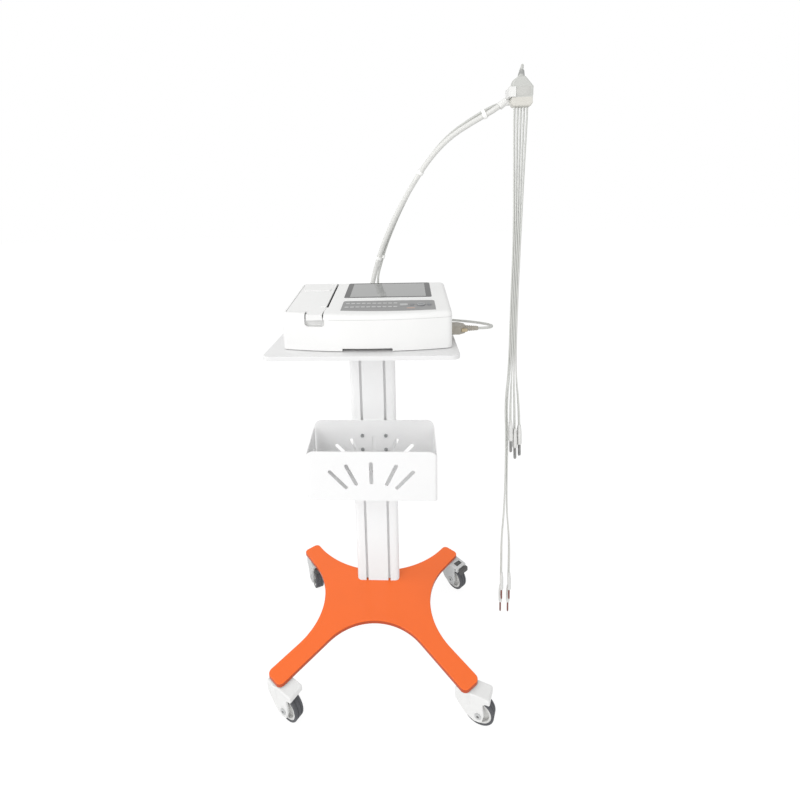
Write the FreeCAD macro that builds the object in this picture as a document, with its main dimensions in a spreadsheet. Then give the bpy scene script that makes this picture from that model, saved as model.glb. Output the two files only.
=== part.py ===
"""ECG machine on its wheeled stand, with patient cable and leads, in millimetres.

X is to the right, Y to the back and Z up. The stand is laid out about the
column's middle plane, and every sub-part is moved at the end so that the
origin lies on the floor under the middle of the rigid object.
"""
import FreeCAD, Part
import math
import os
import re
from types import SimpleNamespace

from FreeCAD import Placement, Rotation, Vector

SIZES = {
    # Castors: single wheel in a moulded fork that trails its stem
    "wheel_radius": 31.5,
    "tyre_width": 22,
    "tyre_wall": 5.5,
    "tyre_round": 2.5,
    "tread_depth": 1,
    "tread_width": 1.4,
    "tread_spacing": 8,
    "rim_wall": 4,
    "web_wall": 6,
    "hub_radius": 9,
    "wheel_gap": 1.4,
    "hub_gap": 0.4,
    "cheek_wall": 5.5,
    "castor_trail": 28,
    "castor_height": 82,
    "fork_drop": 2.5,
    "fork_reach": 51,
    "hood_depth": 13,
    "boss_radius": 21,
    "boss_depth": 26,
    "axle_radius": 4,
    "axle_head_radius": 6.5,
    "axle_head": 2.5,
    "running_gap": 0.3,
    "stem_radius": 5,
    "stem_collar_radius": 14,
    "stem_length": 24,
    "stem_grip": 5.5,
    "stem_inset": 16,
    "pedal_width": 20,
    "pedal_tail_width": 27,
    "pedal_tail": 8,
    "pedal_wall": 5.8,
    "pedal_pin_radius": 2,
    "front_left_turn": -33,
    "front_right_turn": -22,
    "rear_left_turn": -65,
    "rear_right_turn": -48,
    # Base plate: four arms with rounded tips
    "plate_wall": 8,
    "plate_edge": 1.5,
    "arm_width": 46,
    "front_arm_angle": 51,
    "rear_arm_angle": 50,
    "front_spread": 212,
    "rear_spread": 206,
    "front_tip": 288,
    "rear_tip": 93,
    "tip_round": 12,
    "notch_round": 136,
    "waist_round": 180,
    "rear_round": 232,
    # Column: flat extrusion with a pair of slots in its front
    "column_width": 112,
    "column_front": 22,
    "column_back": 12,
    "column_round": 11,
    "slot_spacing": 59,
    "slot_mouth": 6,
    "slot_lip": 2.5,
    "slot_width": 13,
    "slot_depth": 5.5,
    "duct_width": 68,
    "duct_depth": 20,
    "duct_front": 11,
    "bolt_radius": 4,
    "bolt_head_radius": 6.6,
    "bolt_head": 4.4,
    "bolt_spacing": 90,
    "bolt_depth": 26,
    "bolt_front": 12,
    "bolt_rear": 3,
    # Tray: folded sheet with a turned-down lip
    "tray_top": 815,
    "tray_width": 364,
    "tray_front": 293,
    "tray_back": 36,
    "tray_lip": 8,
    "tray_sheet": 2,
    "tray_round": 18,
    "head_width": 140,
    "head_front": 60,
    "head_back": 26,
    "head_wall": 6,
    "head_round": 8,
    "tray_screw_radius": 2.5,
    "tray_screw_head": 2.8,
    "tray_screw_cap": 4.6,
    "tray_screw_depth": 18,
    # Basket: folded sheet on the column
    "basket_width": 301,
    "basket_depth": 118,
    "basket_floor": 414,
    "basket_front_top": 536.5,
    "basket_back_top": 555,
    "basket_sheet": 2,
    "basket_round": 19,
    "basket_bend": 8,
    "basket_corner_gap": 7,
    "basket_side_drop": 13,
    "vent_width": 9,
    "side_vent_low": 35,
    "side_vent_length": 40,
    "side_vent_spacing": 26,
    "basket_screw_high": 514,
    "basket_screw_low": 476,
    "basket_screw_radius": 2.5,
    "basket_screw_cap": 4.5,
    "basket_screw_head": 2.6,
    "nut_width": 11,
    "nut_height": 14,
    "nut_wall": 4.4,
    "fit_gap": 0.2,
    # Machine: two moulded halves with a sloping top
    "machine_side": 10,
    "machine_back": 57,
    "case_width": 322,
    "case_depth": 212,
    "front_bow": 20,
    "case_round": 12,
    "case_edge": 8.5,
    "seam_height": 61,
    "foot_height": 1.5,
    "foot_radius": 8,
    "foot_inset": 32,
    "floor_wall": 2.5,
    "side_wall": 6,
    "skin_wall": 3,
    "panel_height": 72,
    "panel_inset": 12,
    "panel_slope": 6.56,
    "glass_width": 179,
    "glass_depth": 104,
    "glass_wall": 1.5,
    "glass_round": 5,
    "glass_side": 38,
    "glass_rear": 6,
    "display_width": 154,
    "display_depth": 86,
    "display_frame": 4,
    "display_wall": 5,
    "keypad_width": 180,
    "keypad_shift": 3,
    "keypad_depth": 56,
    "keypad_front": 14,
    "keypad_bow": 5,
    "keypad_wall": 1.2,
    "keypad_round": 6,
    "letter_width": 7.6,
    "letter_depth": 5,
    "letter_pitch": 10.4,
    "letter_rise": 0.6,
    "letter_count": 10,
    "letter_inset": 10,
    "letter_lead": 10,
    "key_row": 43,
    "key_rise": 1.4,
    "key_depth": 9,
    "key_height": 5,
    "key_play": 0.4,
    "wide_key_side": 71,
    "wide_key_width": 17,
    "small_key_side": 87,
    "small_key_width": 9,
    "pad_key_side": 104,
    "pad_key_radius": 9,
    "side_key_side": 120,
    "side_key_width": 9,
    # Paper bay under its door, with the roller that carries the paper
    "bay_margin": 7.8,
    "bay_width": 74.6,
    "bay_front": 13,
    "bay_rear": 4,
    "bay_cut": 12,
    "door_gap": 0.6,
    "door_wall": 3,
    "door_hinge_inset": 3.7,
    "door_hinge_drop": 2.5,
    "door_pin_radius": 1.5,
    "door_pin": 2.2,
    "door_tab_width": 30,
    "door_tab_inset": 2.4,
    "door_tab_front": 7,
    "door_apron": 8,
    "door_apron_wall": 2.5,
    "door_ridge_middle": 148,
    "door_ridge_depth": 14,
    "door_ridge_width": 56,
    "door_ridge": 1.6,
    "slot_front": 33,
    "exit_width": 3.8,
    "roller_radius": 6,
    "roller_front": 40,
    "roller_rear": 9,
    "roller_inset": 4.4,
    "roller_drop": 9.5,
    "roller_shaft_radius": 2,
    "bracket_wall": 3,
    "bracket_width": 12,
    "head_gap": 0.6,
    "print_head_width": 16,
    "print_head_height": 10,
    "paper_radius": 23,
    "paper_core_radius": 8,
    "paper_length": 145,
    "paper_inset": 36.4,
    "paper_rear": 5.5,
    "recess_height": 13,
    "recess_depth": 10,
    "recess_width": 38,
    "recess_inset": 1.6,
    "recess_round": 6,
    "notch_width": 94,
    "notch_side": 2,
    "notch_height": 5,
    "notch_depth": 30,
    # Inside and on the walls of the machine
    "post_radius": 4,
    "post_height": 26,
    "board_width": 190,
    "board_depth": 130,
    "board_wall": 1.6,
    "board_side": 40,
    "board_middle": 10,
    "chip_width": 40,
    "chip_height": 9,
    "battery_width": 110,
    "battery_depth": 62,
    "battery_height": 20,
    "socket_middle": 22,
    "socket_height": 20.5,
    "socket_width": 30,
    "socket_wall": 11,
    "socket_depth": 9,
    "flange_width": 39,
    "flange_height": 14,
    "flange_wall": 1.2,
    "inlet_gap": 12.5,
    "inlet_height": 25,
    "inlet_width": 27,
    "inlet_wall": 20,
    "inlet_pocket": 14,
    "inlet_floor": 3,
    "inlet_rim": 4,
    "pin_width": 4,
    "pin_wall": 2,
    "pin_spacing": 7,
    "pin_step": 2,
    "stud_side": 92,
    "stud_height": 30,
    "stud_radius": 3,
    "stud_length": 14,
    "stud_collar_radius": 7,
    "stud_collar": 3,
    # Patient plug on the right-hand wall
    "hood_length": 30,
    "hood_width": 38,
    "hood_height": 17,
    "hood_round": 4,
    "hood_taper": 12,
    "relief_length": 26,
    "relief_radius": 6.5,
    "relief_tip_radius": 4.6,
    "relief_rings": 6,
    "thumb_radius": 3.4,
    "thumb_length": 11,
    "thumb_seat": 8,
    "thumb_shaft_radius": 1.5,
    "thumb_spacing": 29,
    "cable_radius": 2.75,
    "cable_lead": 17.5,
    # Boom: bent arm that stands in a socket on the tray
    "boom_radius": 5.5,
    "boom_turn": 24,
    "boom_reach": 309,
    "boom_rise": 456,
    "boom_lift": 4,
    "boom_back": 6,
    "socket_radius": 10,
    "socket_rise": 29,
    "socket_flange_radius": 18,
    "socket_flange": 4,
    "socket_spigot_radius": 6,
    "clip_wall": 1.8,
    "clip_length": 7,
    # Junction block and the leads that hang from it
    "block_out": 26.3,
    "block_ahead": 18.8,
    "block_drop": 15,
    "block_height": 54,
    "block_foot_width": 32,
    "block_width": 41,
    "block_top_width": 13,
    "block_top_shift": 1.5,
    "block_shoulder": 36,
    "block_far_shoulder": 48,
    "block_flank": 3.5,
    "block_corner": 4,
    "block_catch_low": 8,
    "block_catch_high": 20,
    "block_catch": 1,
    "block_foot_flare": 6,
    "block_wall": 20,
    "block_round": 3,
    "block_relief_length": 25,
    "block_relief_radius": 6.2,
    "block_relief_tip": 3.6,
    "block_relief_tilt": 40,
    "block_relief_lean": 12,
    "block_relief_sink": 3,
    "holder_wall": 4,
    "holder_height": 18,
    "holder_low": 17,
    "holder_lip": 8,
    "holder_lip_wall": 2,
    "holder_plate": 33,
    "holder_jaw": 5,
    "collar_radius": 7.4,
    "collar_length": 16,
    "lead_radius": 1.4,
    "lead_pitch": 6,
    "lead_rows": 7,
    "chest_pitch": 9.4,
    "limb_pitch": 17.5,
    "limb_drop": 1028,
    "limb_stagger": 43,
    "boot_length": 45,
    "boot_radius": 4,
    "boot_tip_radius": 2.4,
    "boot_gap": 0.6,
    "pin_radius": 2,
    "pin_length": 27,
}
DERIVED = {
    "panel_front": "case_depth / 2 - panel_inset",
    "glass_middle": "case_depth - panel_inset - glass_rear - glass_depth / 2",
    "bay_left": "case_width / 2 - bay_margin",
    "bay_right": "bay_left - bay_width",
    "bay_back": "case_depth - panel_inset - bay_rear",
    "roller_back": "bay_back - roller_rear",
    "roller_side": "bay_right + roller_inset",
    "paper_side": "bay_right + paper_inset",
    "paper_middle": "case_depth / 2 - side_wall - paper_rear - paper_length / 2",
    "inlet_side": "paper_side - paper_radius - inlet_gap - inlet_width / 2",
    "door_tab_right": "bay_right + door_tab_inset",
    "door_tab_left": "door_tab_right + door_tab_width",
    "recess_right": "bay_right - recess_inset",
    "recess_left": "recess_right + recess_width",
}

doc = FreeCAD.newDocument("ecg_machine")
sheet = doc.addObject("Spreadsheet::Sheet", "sizes")
cells = {name: str(value) for name, value in SIZES.items()}
cells.update({name: f"={text}" for name, text in DERIVED.items()})
for row, (size_name, size_text) in enumerate(cells.items(), start=1):
    sheet.set(f"A{row}", size_name)
    sheet.set(f"B{row}", size_text)
    sheet.setAlias(f"B{row}", size_name)
doc.recompute()
s = SimpleNamespace(**SIZES, **{name: float(sheet.get(name)) for name in DERIVED})

SUBPARTS = []
X_AXIS = Vector(1, 0, 0)
Y_AXIS = Vector(0, 1, 0)
Z_AXIS = Vector(0, 0, 1)
EYE = Placement()


def bound(text):
    """Expression whose size names point into the sheet."""
    return re.sub(r"[a-z][a-z_]+", lambda word: f"sizes.{word.group()}", text)


def corner_arc(before, corner, after, radius):
    """Start, middle and end of the arc that rounds one corner."""
    inward = (before - corner).normalize()
    onward = (after - corner).normalize()
    half = inward.getAngle(onward) / 2
    reach = radius / math.tan(half)
    bisector = (inward + onward).normalize()
    centre = corner + bisector * (radius / math.sin(half))
    return corner + inward * reach, centre - bisector * radius, corner + onward * reach


def rounded(points, radii):
    """Closed outline of straight lines with tangent arcs at its corners."""
    corners = [Vector(*point) for point in points]
    if not isinstance(radii, list):
        radii = [radii] * len(corners)
    geometry = []
    spans = []
    for i, corner in enumerate(corners):
        if radii[i] > 0:
            after = corners[(i + 1) % len(corners)]
            start, middle, end = corner_arc(corners[i - 1], corner, after, radii[i])
            geometry.append(Part.Arc(start, middle, end))
            spans.append((start, end))
        else:
            spans.append((corner, corner))
    for i, (_, end) in enumerate(spans):
        following = spans[(i + 1) % len(spans)][0]
        geometry.append(Part.LineSegment(end, following))
    return geometry


def rectangle(x0, y0, x1, y1, radius=0):
    """Closed rectangle with equal corner arcs."""
    return rounded([(x0, y0), (x1, y0), (x1, y1), (x0, y1)], radius)


def centred(x, y, width, height, radius=0):
    """Closed rectangle about a middle point."""
    return rectangle(x - width / 2, y - height / 2, x + width / 2, y + height / 2, radius)


def circle(x, y, radius):
    """Closed circle."""
    return [Part.Circle(Vector(x, y, 0), Z_AXIS, radius)]


def slot(start, end, width):
    """Closed slot with round ends between two points."""
    first = Vector(*start)
    last = Vector(*end)
    along = (last - first).normalize() * (width / 2)
    side = Vector(-along.y, along.x, 0)
    return [
        Part.LineSegment(first + side, last + side),
        Part.Arc(last + side, last + along, last - side),
        Part.LineSegment(last - side, first - side),
        Part.Arc(first - side, first - along, first + side),
    ]


class Piece:
    """One body of the document, built up feature by feature."""

    def __init__(self, label, place=EYE, keep=True):
        self.body = doc.addObject("PartDesign::Body", label)
        self.body.Label = label
        self.body.Placement = place
        if keep:
            SUBPARTS.append(self.body)

    def sketch(self, role, outlines, start="0", tilt=None):
        """Sketch of closed outlines on one of the body's own planes."""
        sketch = self.body.newObject("Sketcher::SketchObject", "Outline")
        plane = next(o for o in self.body.Origin.OriginFeatures if o.Role == role)
        sketch.AttachmentSupport = [(plane, "")]
        sketch.MapMode = "FlatFace"
        for outline in outlines:
            sketch.addGeometry(outline, False)
        if tilt:
            sketch.AttachmentOffset = tilt
        else:
            sketch.setExpression("AttachmentOffset.Base.z", bound(start))
        return sketch

    def pad(self, role, outlines, length, start="0", side="One side", reverse=False):
        """Add material along a plane's normal."""
        sketch = self.sketch(role, outlines, start)
        feature = self.body.newObject("PartDesign::Pad", "Pad")
        feature.Profile = sketch
        feature.SideType = side
        feature.Reversed = reverse
        feature.setExpression("Length", bound(length))
        doc.recompute()
        return self

    def pocket(self, role, outlines, length, start="0", side="One side", reverse=False, tilt=None):
        """Cut material against a plane's normal."""
        doc.recompute()
        before = self.body.Shape.Volume
        sketch = self.sketch(role, outlines, start, tilt)
        feature = self.body.newObject("PartDesign::Pocket", "Pocket")
        feature.Profile = sketch
        feature.SideType = side
        feature.Reversed = reverse
        feature.setExpression("Length", bound(length))
        doc.recompute()
        if self.body.Shape.Volume > before - 0.01:
            raise RuntimeError(f"a cut in {self.body.Label} removes nothing")
        return self

    def revolve(self, role, outlines, axis):
        """Turn outlines about one of the sketch's own axes."""
        sketch = self.sketch(role, outlines)
        feature = self.body.newObject("PartDesign::Revolution", "Revolution")
        feature.Profile = sketch
        feature.ReferenceAxis = (sketch, [axis])
        feature.Angle = 360
        doc.recompute()
        return self

    def fillet(self, chosen, radius):
        """Round the edges that a test picks out."""
        doc.recompute()
        base = self.body.Tip
        names = [f"Edge{i}" for i, edge in enumerate(base.Shape.Edges, 1) if chosen(edge)]
        feature = self.body.newObject("PartDesign::Fillet", "Fillet")
        feature.Base = (base, names)
        feature.setExpression("Radius", bound(radius))
        doc.recompute()
        return self


def upright(edge):
    """Whether an edge is a straight line along Z."""
    return isinstance(edge.Curve, Part.Line) and abs(edge.Curve.Direction.z) > 0.999


def at_level(height):
    """Test for edges that lie wholly at one height."""
    return lambda edge: abs(edge.BoundBox.ZMin - height) < 1e-4 and abs(edge.BoundBox.ZMax - height) < 1e-4


def solid(label, shape, keep=True):
    """Document object for a shape worked out from the sizes."""
    feature = doc.addObject("Part::Feature", label)
    feature.Label = label
    feature.Shape = shape
    if keep:
        SUBPARTS.append(feature)
    return feature


def copies(label, source, places):
    """One sub-part made of equal solids at several places."""
    doc.recompute()
    shapes = []
    for place in places:
        shape = source.Shape.copy()
        shape.Placement = place * shape.Placement
        shapes.append(shape)
    return solid(label, shapes[0] if len(shapes) == 1 else Part.makeCompound(shapes))


def at(x, y, z):
    """Placement moved without turning."""
    return Placement(Vector(x, y, z), Rotation())


def turned(label, profile, keep=False):
    """Body turned about its own Z axis from (radius, height) points."""
    return Piece(label, keep=keep).revolve("XZ_Plane", [rounded(profile, 0)], "V_Axis").body


# Base plate

def meet(point, along, other, across):
    """Point where two plane lines cross."""
    factor = (other - point).cross(across).z / along.cross(across).z
    return point + along * factor


def arms():
    """Tip middle, outward direction and outer normal of the right-hand arms."""
    front = math.radians(s.front_arm_angle)
    rear = math.radians(s.rear_arm_angle)
    return (
        (Vector(s.front_spread, -s.front_tip), Vector(math.cos(front), -math.sin(front)),
         Vector(math.sin(front), math.cos(front))),
        (Vector(s.rear_spread, s.rear_tip), Vector(math.cos(rear), math.sin(rear)),
         Vector(math.sin(rear), -math.cos(rear))),
    )


def stem_points():
    """Stem positions by castor name."""
    points = {}
    for word, (tip, along, _) in zip(("front", "rear"), arms()):
        stem = tip - along * s.stem_inset
        points[f"{word}_left"] = Vector(-stem.x, stem.y)
        points[f"{word}_right"] = stem
    return points


def bolt_points():
    """Places of the screws that run into the column's ends."""
    half = s.bolt_spacing / 2
    return [(x, y) for x in (-half, half) for y in (-s.bolt_front, s.bolt_rear)]


def base_outline():
    """Outline of the plate: two crossing pairs of arms with hollow sides."""
    half = s.arm_width / 2
    (front, front_along, front_out), (rear, rear_along, rear_out) = arms()
    middle = Vector()
    right = [
        meet(rear - rear_out * half, rear_along, middle, Y_AXIS),
        rear - rear_out * half,
        rear + rear_out * half,
        meet(rear + rear_out * half, rear_along, front + front_out * half, front_along),
        front + front_out * half,
        front - front_out * half,
        meet(front - front_out * half, front_along, middle, Y_AXIS),
    ]
    left = [Vector(-p.x, p.y) for p in reversed(right[1:-1])]
    tip = s.tip_round
    sides = [tip, tip, s.waist_round, tip, tip]
    radii = [s.rear_round] + sides + [s.notch_round] + sides
    return rounded([(p.x, p.y) for p in right + left], radii)


def make_base():
    plate = Piece("base_plate")
    plate.pad("XY_Plane", [base_outline()], "plate_wall", "castor_height")
    plate.fillet(at_level(s.castor_height + s.plate_wall), "plate_edge")
    sockets = [circle(p.x, p.y, s.stem_radius + s.fit_gap / 2) for p in stem_points().values()]
    plate.pocket("XY_Plane", sockets, "stem_grip + fit_gap", "castor_height", reverse=True)
    holes = [circle(x, y, s.bolt_radius + s.fit_gap) for x, y in bolt_points()]
    plate.pocket("XY_Plane", holes, "plate_wall", "castor_height", reverse=True)
    return plate


# Castors

def make_stems():
    top = s.castor_height
    low = top - s.fork_drop - s.stem_length
    collar = top - s.fork_drop + s.hub_gap
    stem = turned("stem", [
        (0, low), (s.stem_radius, low), (s.stem_radius, collar), (s.stem_collar_radius, collar),
        (s.stem_collar_radius, top), (s.stem_radius, top),
        (s.stem_radius, top + s.stem_grip), (0, top + s.stem_grip),
    ])
    copies("castor_stems", stem, [at(p.x, p.y, 0) for p in stem_points().values()])


def fork_outline():
    """Side view of the fork: hood, open mouth behind and a cheek round the axle."""
    top = s.castor_height - s.fork_drop
    hood = top - s.hood_depth
    trail = s.castor_trail
    axle = s.wheel_radius
    front = -s.boss_radius
    points = [
        (front, top), (s.fork_reach, top), (s.fork_reach + 1, hood), (trail + 8, hood - 2),
        (trail + 12, axle + 2), (trail + 7, axle - 17), (trail - 9, axle - 18),
        (trail - 26, axle - 8), (trail - 42, axle + 12), (front, top - s.boss_depth),
    ]
    return rounded(points, [4, 4, 3, 9, 8, 8, 9, 12, 8, 4])


def make_fork(label, braked):
    """Moulded fork about its stem axis; the wheel trails towards +X."""
    top = s.castor_height - s.fork_drop
    inside = "tyre_width + 2 * wheel_gap"
    fork = Piece(label, keep=False)
    fork.pad("XZ_Plane", [fork_outline()], f"{inside} + 2 * cheek_wall", side="Symmetric")
    fork.pad("XY_Plane", [circle(0, 0, s.boss_radius)], "boss_depth",
             "castor_height - fork_drop - boss_depth")
    fork.fillet(at_level(top), "tyre_round")
    arch = circle(s.castor_trail, s.wheel_radius, s.wheel_radius + 2 * s.wheel_gap)
    fork.pocket("XZ_Plane", [arch], inside, side="Symmetric")
    bore = circle(0, 0, s.stem_radius + s.running_gap)
    fork.pocket("XY_Plane", [bore], "stem_length + hub_gap", "castor_height - fork_drop")
    axle = circle(s.castor_trail, s.wheel_radius, s.axle_radius + s.fit_gap / 2)
    fork.pocket("XZ_Plane", [axle], "4 * tyre_width", side="Symmetric")
    if braked:
        cut_pedal_room(fork, top)
    return fork.body


def pedal_pivot():
    """Pivot of the brake pedal in the fork's side view."""
    return s.fork_reach - 8, s.castor_height - s.fork_drop - s.hood_depth + 5.5


def cut_pedal_room(fork, top):
    """Channel, roof window and pin holes for the brake pedal."""
    pivot, level = pedal_pivot()
    room = s.pedal_wall / 2 + 2 * s.wheel_gap / 3
    channel = rectangle(s.castor_trail + 2, level - room, s.fork_reach + 3, level + room)
    fork.pocket("XZ_Plane", [channel], "pedal_width + 2 * hub_gap", side="Symmetric")
    mouth = rectangle(pivot + 3, level - s.hood_depth, s.fork_reach + 3, level)
    fork.pocket("XZ_Plane", [mouth], "pedal_width + 2 * hub_gap", side="Symmetric")
    window = centred(s.castor_trail + 9, 0, 13, s.pedal_width + 2 * s.hub_gap)
    fork.pocket("XY_Plane", [window], "hood_depth / 2", "castor_height - fork_drop")
    pin = circle(pivot, level, s.pedal_pin_radius + s.fit_gap / 2)
    fork.pocket("XZ_Plane", [pin], "4 * tyre_width", side="Symmetric")


def make_pedal():
    """Rocker pedal: toe pad in the roof window, tail behind the hood."""
    pivot, level = pedal_pivot()
    half = s.pedal_wall / 2
    top = s.castor_height - s.fork_drop
    back = s.fork_reach + 2.6
    bar = rectangle(s.castor_trail + 3, level - half, back + 1, level + half)
    toe = rectangle(s.castor_trail + 3.6, level, s.castor_trail + 13, top - 0.8, 1)
    tail = rectangle(back, level - 8, back + s.pedal_tail, level + 5, 2)
    pedal = Piece("pedal", keep=False)
    pedal.pad("XZ_Plane", [bar], "pedal_width", side="Symmetric")
    pedal.pad("XZ_Plane", [toe], "pedal_width - 2 * fit_gap", side="Symmetric")
    pedal.pad("XZ_Plane", [tail], "pedal_tail_width", side="Symmetric")
    pin = circle(pivot, level, s.pedal_pin_radius)
    pedal.pad("XZ_Plane", [pin], "tyre_width + 2 * wheel_gap + 2 * cheek_wall", side="Symmetric")
    return pedal.body


def make_wheel_parts():
    """Axle, hub and tyre about the Y axis through the origin."""
    cheek = s.tyre_width / 2 + s.wheel_gap + s.cheek_wall
    axle = Piece("axle", keep=False)
    end = cheek + s.axle_head
    axle.revolve("XY_Plane", [rounded([
        (0, -end), (s.axle_head_radius, -end), (s.axle_head_radius, -cheek), (s.axle_radius, -cheek),
        (s.axle_radius, cheek), (s.axle_head_radius, cheek), (s.axle_head_radius, end), (0, end),
    ], 0)], "V_Axis")
    rim = s.wheel_radius - s.tyre_wall
    half = s.tyre_width / 2
    face = half - 1
    boss = half + s.wheel_gap - s.hub_gap
    inner = s.axle_radius + s.running_gap
    web = s.web_wall / 2
    well = rim - s.rim_wall
    hub = Piece("hub", keep=False)
    hub.revolve("XY_Plane", [rounded([
        (inner, -boss), (s.hub_radius, -boss), (s.hub_radius, -web), (well, -web), (well, -face),
        (rim, -face),
        (rim, face), (well, face), (well, web), (s.hub_radius, web), (s.hub_radius, boss), (inner, boss),
    ], 0)], "V_Axis")
    outer = s.wheel_radius
    floor = outer - s.tread_depth
    near = (s.tread_spacing - s.tread_width) / 2
    far = (s.tread_spacing + s.tread_width) / 2
    sharp = [0] * 8
    tyre = Piece("tyre", keep=False)
    tyre.revolve("XY_Plane", [rounded([
        (rim, -half), (outer, -half), (outer, -far), (floor, -far), (floor, -near), (outer, -near),
        (outer, near), (floor, near), (floor, far), (outer, far), (outer, half), (rim, half),
    ], [0, s.tyre_round] + sharp + [s.tyre_round, 0])], "V_Axis")
    return {"axle": axle.body, "hub": hub.body, "tyre": tyre.body}


def make_castors():
    make_stems()
    forks = {"front": make_fork("fork", False), "rear": make_fork("braked_fork", True)}
    pedal = make_pedal()
    rolling = make_wheel_parts()
    wheel = at(s.castor_trail, 0, s.wheel_radius)
    for name, stem in stem_points().items():
        turn = SIZES[f"{name}_turn"]
        place = Placement(Vector(stem.x, stem.y, 0), Rotation(Z_AXIS, turn))
        end = name.split("_")[0]
        copies(f"fork_{name}", forks[end], [place])
        for word, body in rolling.items():
            copies(f"{word}_{name}", body, [place * wheel])
        if end == "rear":
            copies(f"pedal_{name}", pedal, [place])


# Column and tray

def make_column():
    low = s.castor_height + s.plate_wall
    half = s.column_width / 2
    front = -s.column_front
    lip = front + s.slot_lip
    column = Piece("column")
    height = "tray_top - tray_sheet - head_wall - castor_height - plate_wall"
    column.pad("XY_Plane", [rectangle(-half, front, half, s.column_back, s.column_round)],
               height, "castor_height + plate_wall")
    slots = []
    for x in (-s.slot_spacing / 2, s.slot_spacing / 2):
        mouth = s.slot_mouth / 2
        wide = s.slot_width / 2
        back = lip + s.slot_depth
        slots.append(rounded([
            (x - mouth, front - 1), (x + mouth, front - 1), (x + mouth, lip), (x + wide, lip),
            (x + wide, back), (x - wide, back), (x - wide, lip), (x - mouth, lip),
        ], 0))
    column.pocket("XY_Plane", slots, height, "castor_height + plate_wall", reverse=True)
    duct = rectangle(-s.duct_width / 2, -s.duct_front, s.duct_width / 2, s.duct_depth - s.duct_front, 4)
    column.pocket("XY_Plane", [duct], height, "castor_height + plate_wall", reverse=True)
    holes = [circle(x, y, s.bolt_radius + s.fit_gap) for x, y in bolt_points()]
    column.pocket("XY_Plane", holes, "bolt_depth + 1", "castor_height + plate_wall", reverse=True)
    ports = [circle(x, y, s.tray_screw_radius + s.fit_gap) for x, y in bolt_points()]
    column.pocket("XY_Plane", ports, "tray_screw_depth + 1", "tray_top - tray_sheet - head_wall")
    bolt = turned("bolt", [
        (0, s.castor_height - s.bolt_head), (s.bolt_head_radius, s.castor_height - s.bolt_head),
        (s.bolt_head_radius, s.castor_height), (s.bolt_radius, s.castor_height),
        (s.bolt_radius, low + s.bolt_depth), (0, low + s.bolt_depth),
    ])
    copies("column_bolts", bolt, [at(x, y, 0) for x, y in bolt_points()])


def make_tray():
    half = s.tray_width / 2
    skin = s.tray_sheet
    tray = Piece("tray")
    outer = rectangle(-half, -s.tray_front, half, s.tray_back, s.tray_round)
    tray.pad("XY_Plane", [outer], "tray_lip", "tray_top - tray_lip")
    tray.fillet(at_level(s.tray_top), "tray_sheet")
    inner = rectangle(skin - half, skin - s.tray_front, half - skin, s.tray_back - skin, s.tray_round - skin)
    tray.pocket("XY_Plane", [inner], "tray_lip - tray_sheet", "tray_top - tray_lip", reverse=True)
    holes = [circle(x, y, s.tray_screw_radius + s.fit_gap) for x, y in bolt_points()]
    holes.append(circle(0, 0, s.socket_spigot_radius + s.fit_gap))
    tray.pocket("XY_Plane", holes, "tray_sheet", "tray_top")
    half = s.head_width / 2
    head = Piece("column_head")
    plate = rectangle(-half, -s.head_front, half, s.head_back, s.head_round)
    head.pad("XY_Plane", [plate], "head_wall", "tray_top - tray_sheet - head_wall")
    head.pocket("XY_Plane", holes, "head_wall", "tray_top - tray_sheet")
    top = s.tray_top
    deep = top - s.tray_sheet - s.head_wall - s.tray_screw_depth
    screw = turned("tray_screw", [
        (0, deep), (s.tray_screw_radius, deep), (s.tray_screw_radius, top), (s.tray_screw_cap, top),
        (s.tray_screw_cap, top + s.tray_screw_head), (0, top + s.tray_screw_head),
    ])
    copies("tray_screws", screw, [at(x, y, 0) for x, y in bolt_points()])


# Basket

VENTS = ((95, 33, 72), (57, 42, 87), (0, 46, 93))


def vents():
    """Five slots that fan out across the basket's front."""
    low = s.basket_floor
    outlines = []
    for far, foot, head in VENTS:
        near = far * 0.62
        for side in (-1, 1) if far else (1,):
            outlines.append(slot((side * near, low + foot), (side * far, low + head), s.vent_width))
    return outlines


def corner_cut(side, top):
    """Outline that rounds one top corner of the basket's front or back."""
    edge = side * s.basket_width / 2
    inner = edge - side * s.basket_round
    out = edge + side
    lift = s.basket_round * (1 - math.sqrt(0.5))
    low = top - s.basket_round
    over = top + 1
    way = [(edge, low), (out, low), (out, over), (inner, over), (inner, top)]
    corners = [Vector(*point) for point in way]
    lines = [Part.LineSegment(a, b) for a, b in zip(corners, corners[1:])]
    return lines + [Part.Arc(corners[-1], Vector(edge - side * lift, top - lift), corners[0])]


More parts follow.
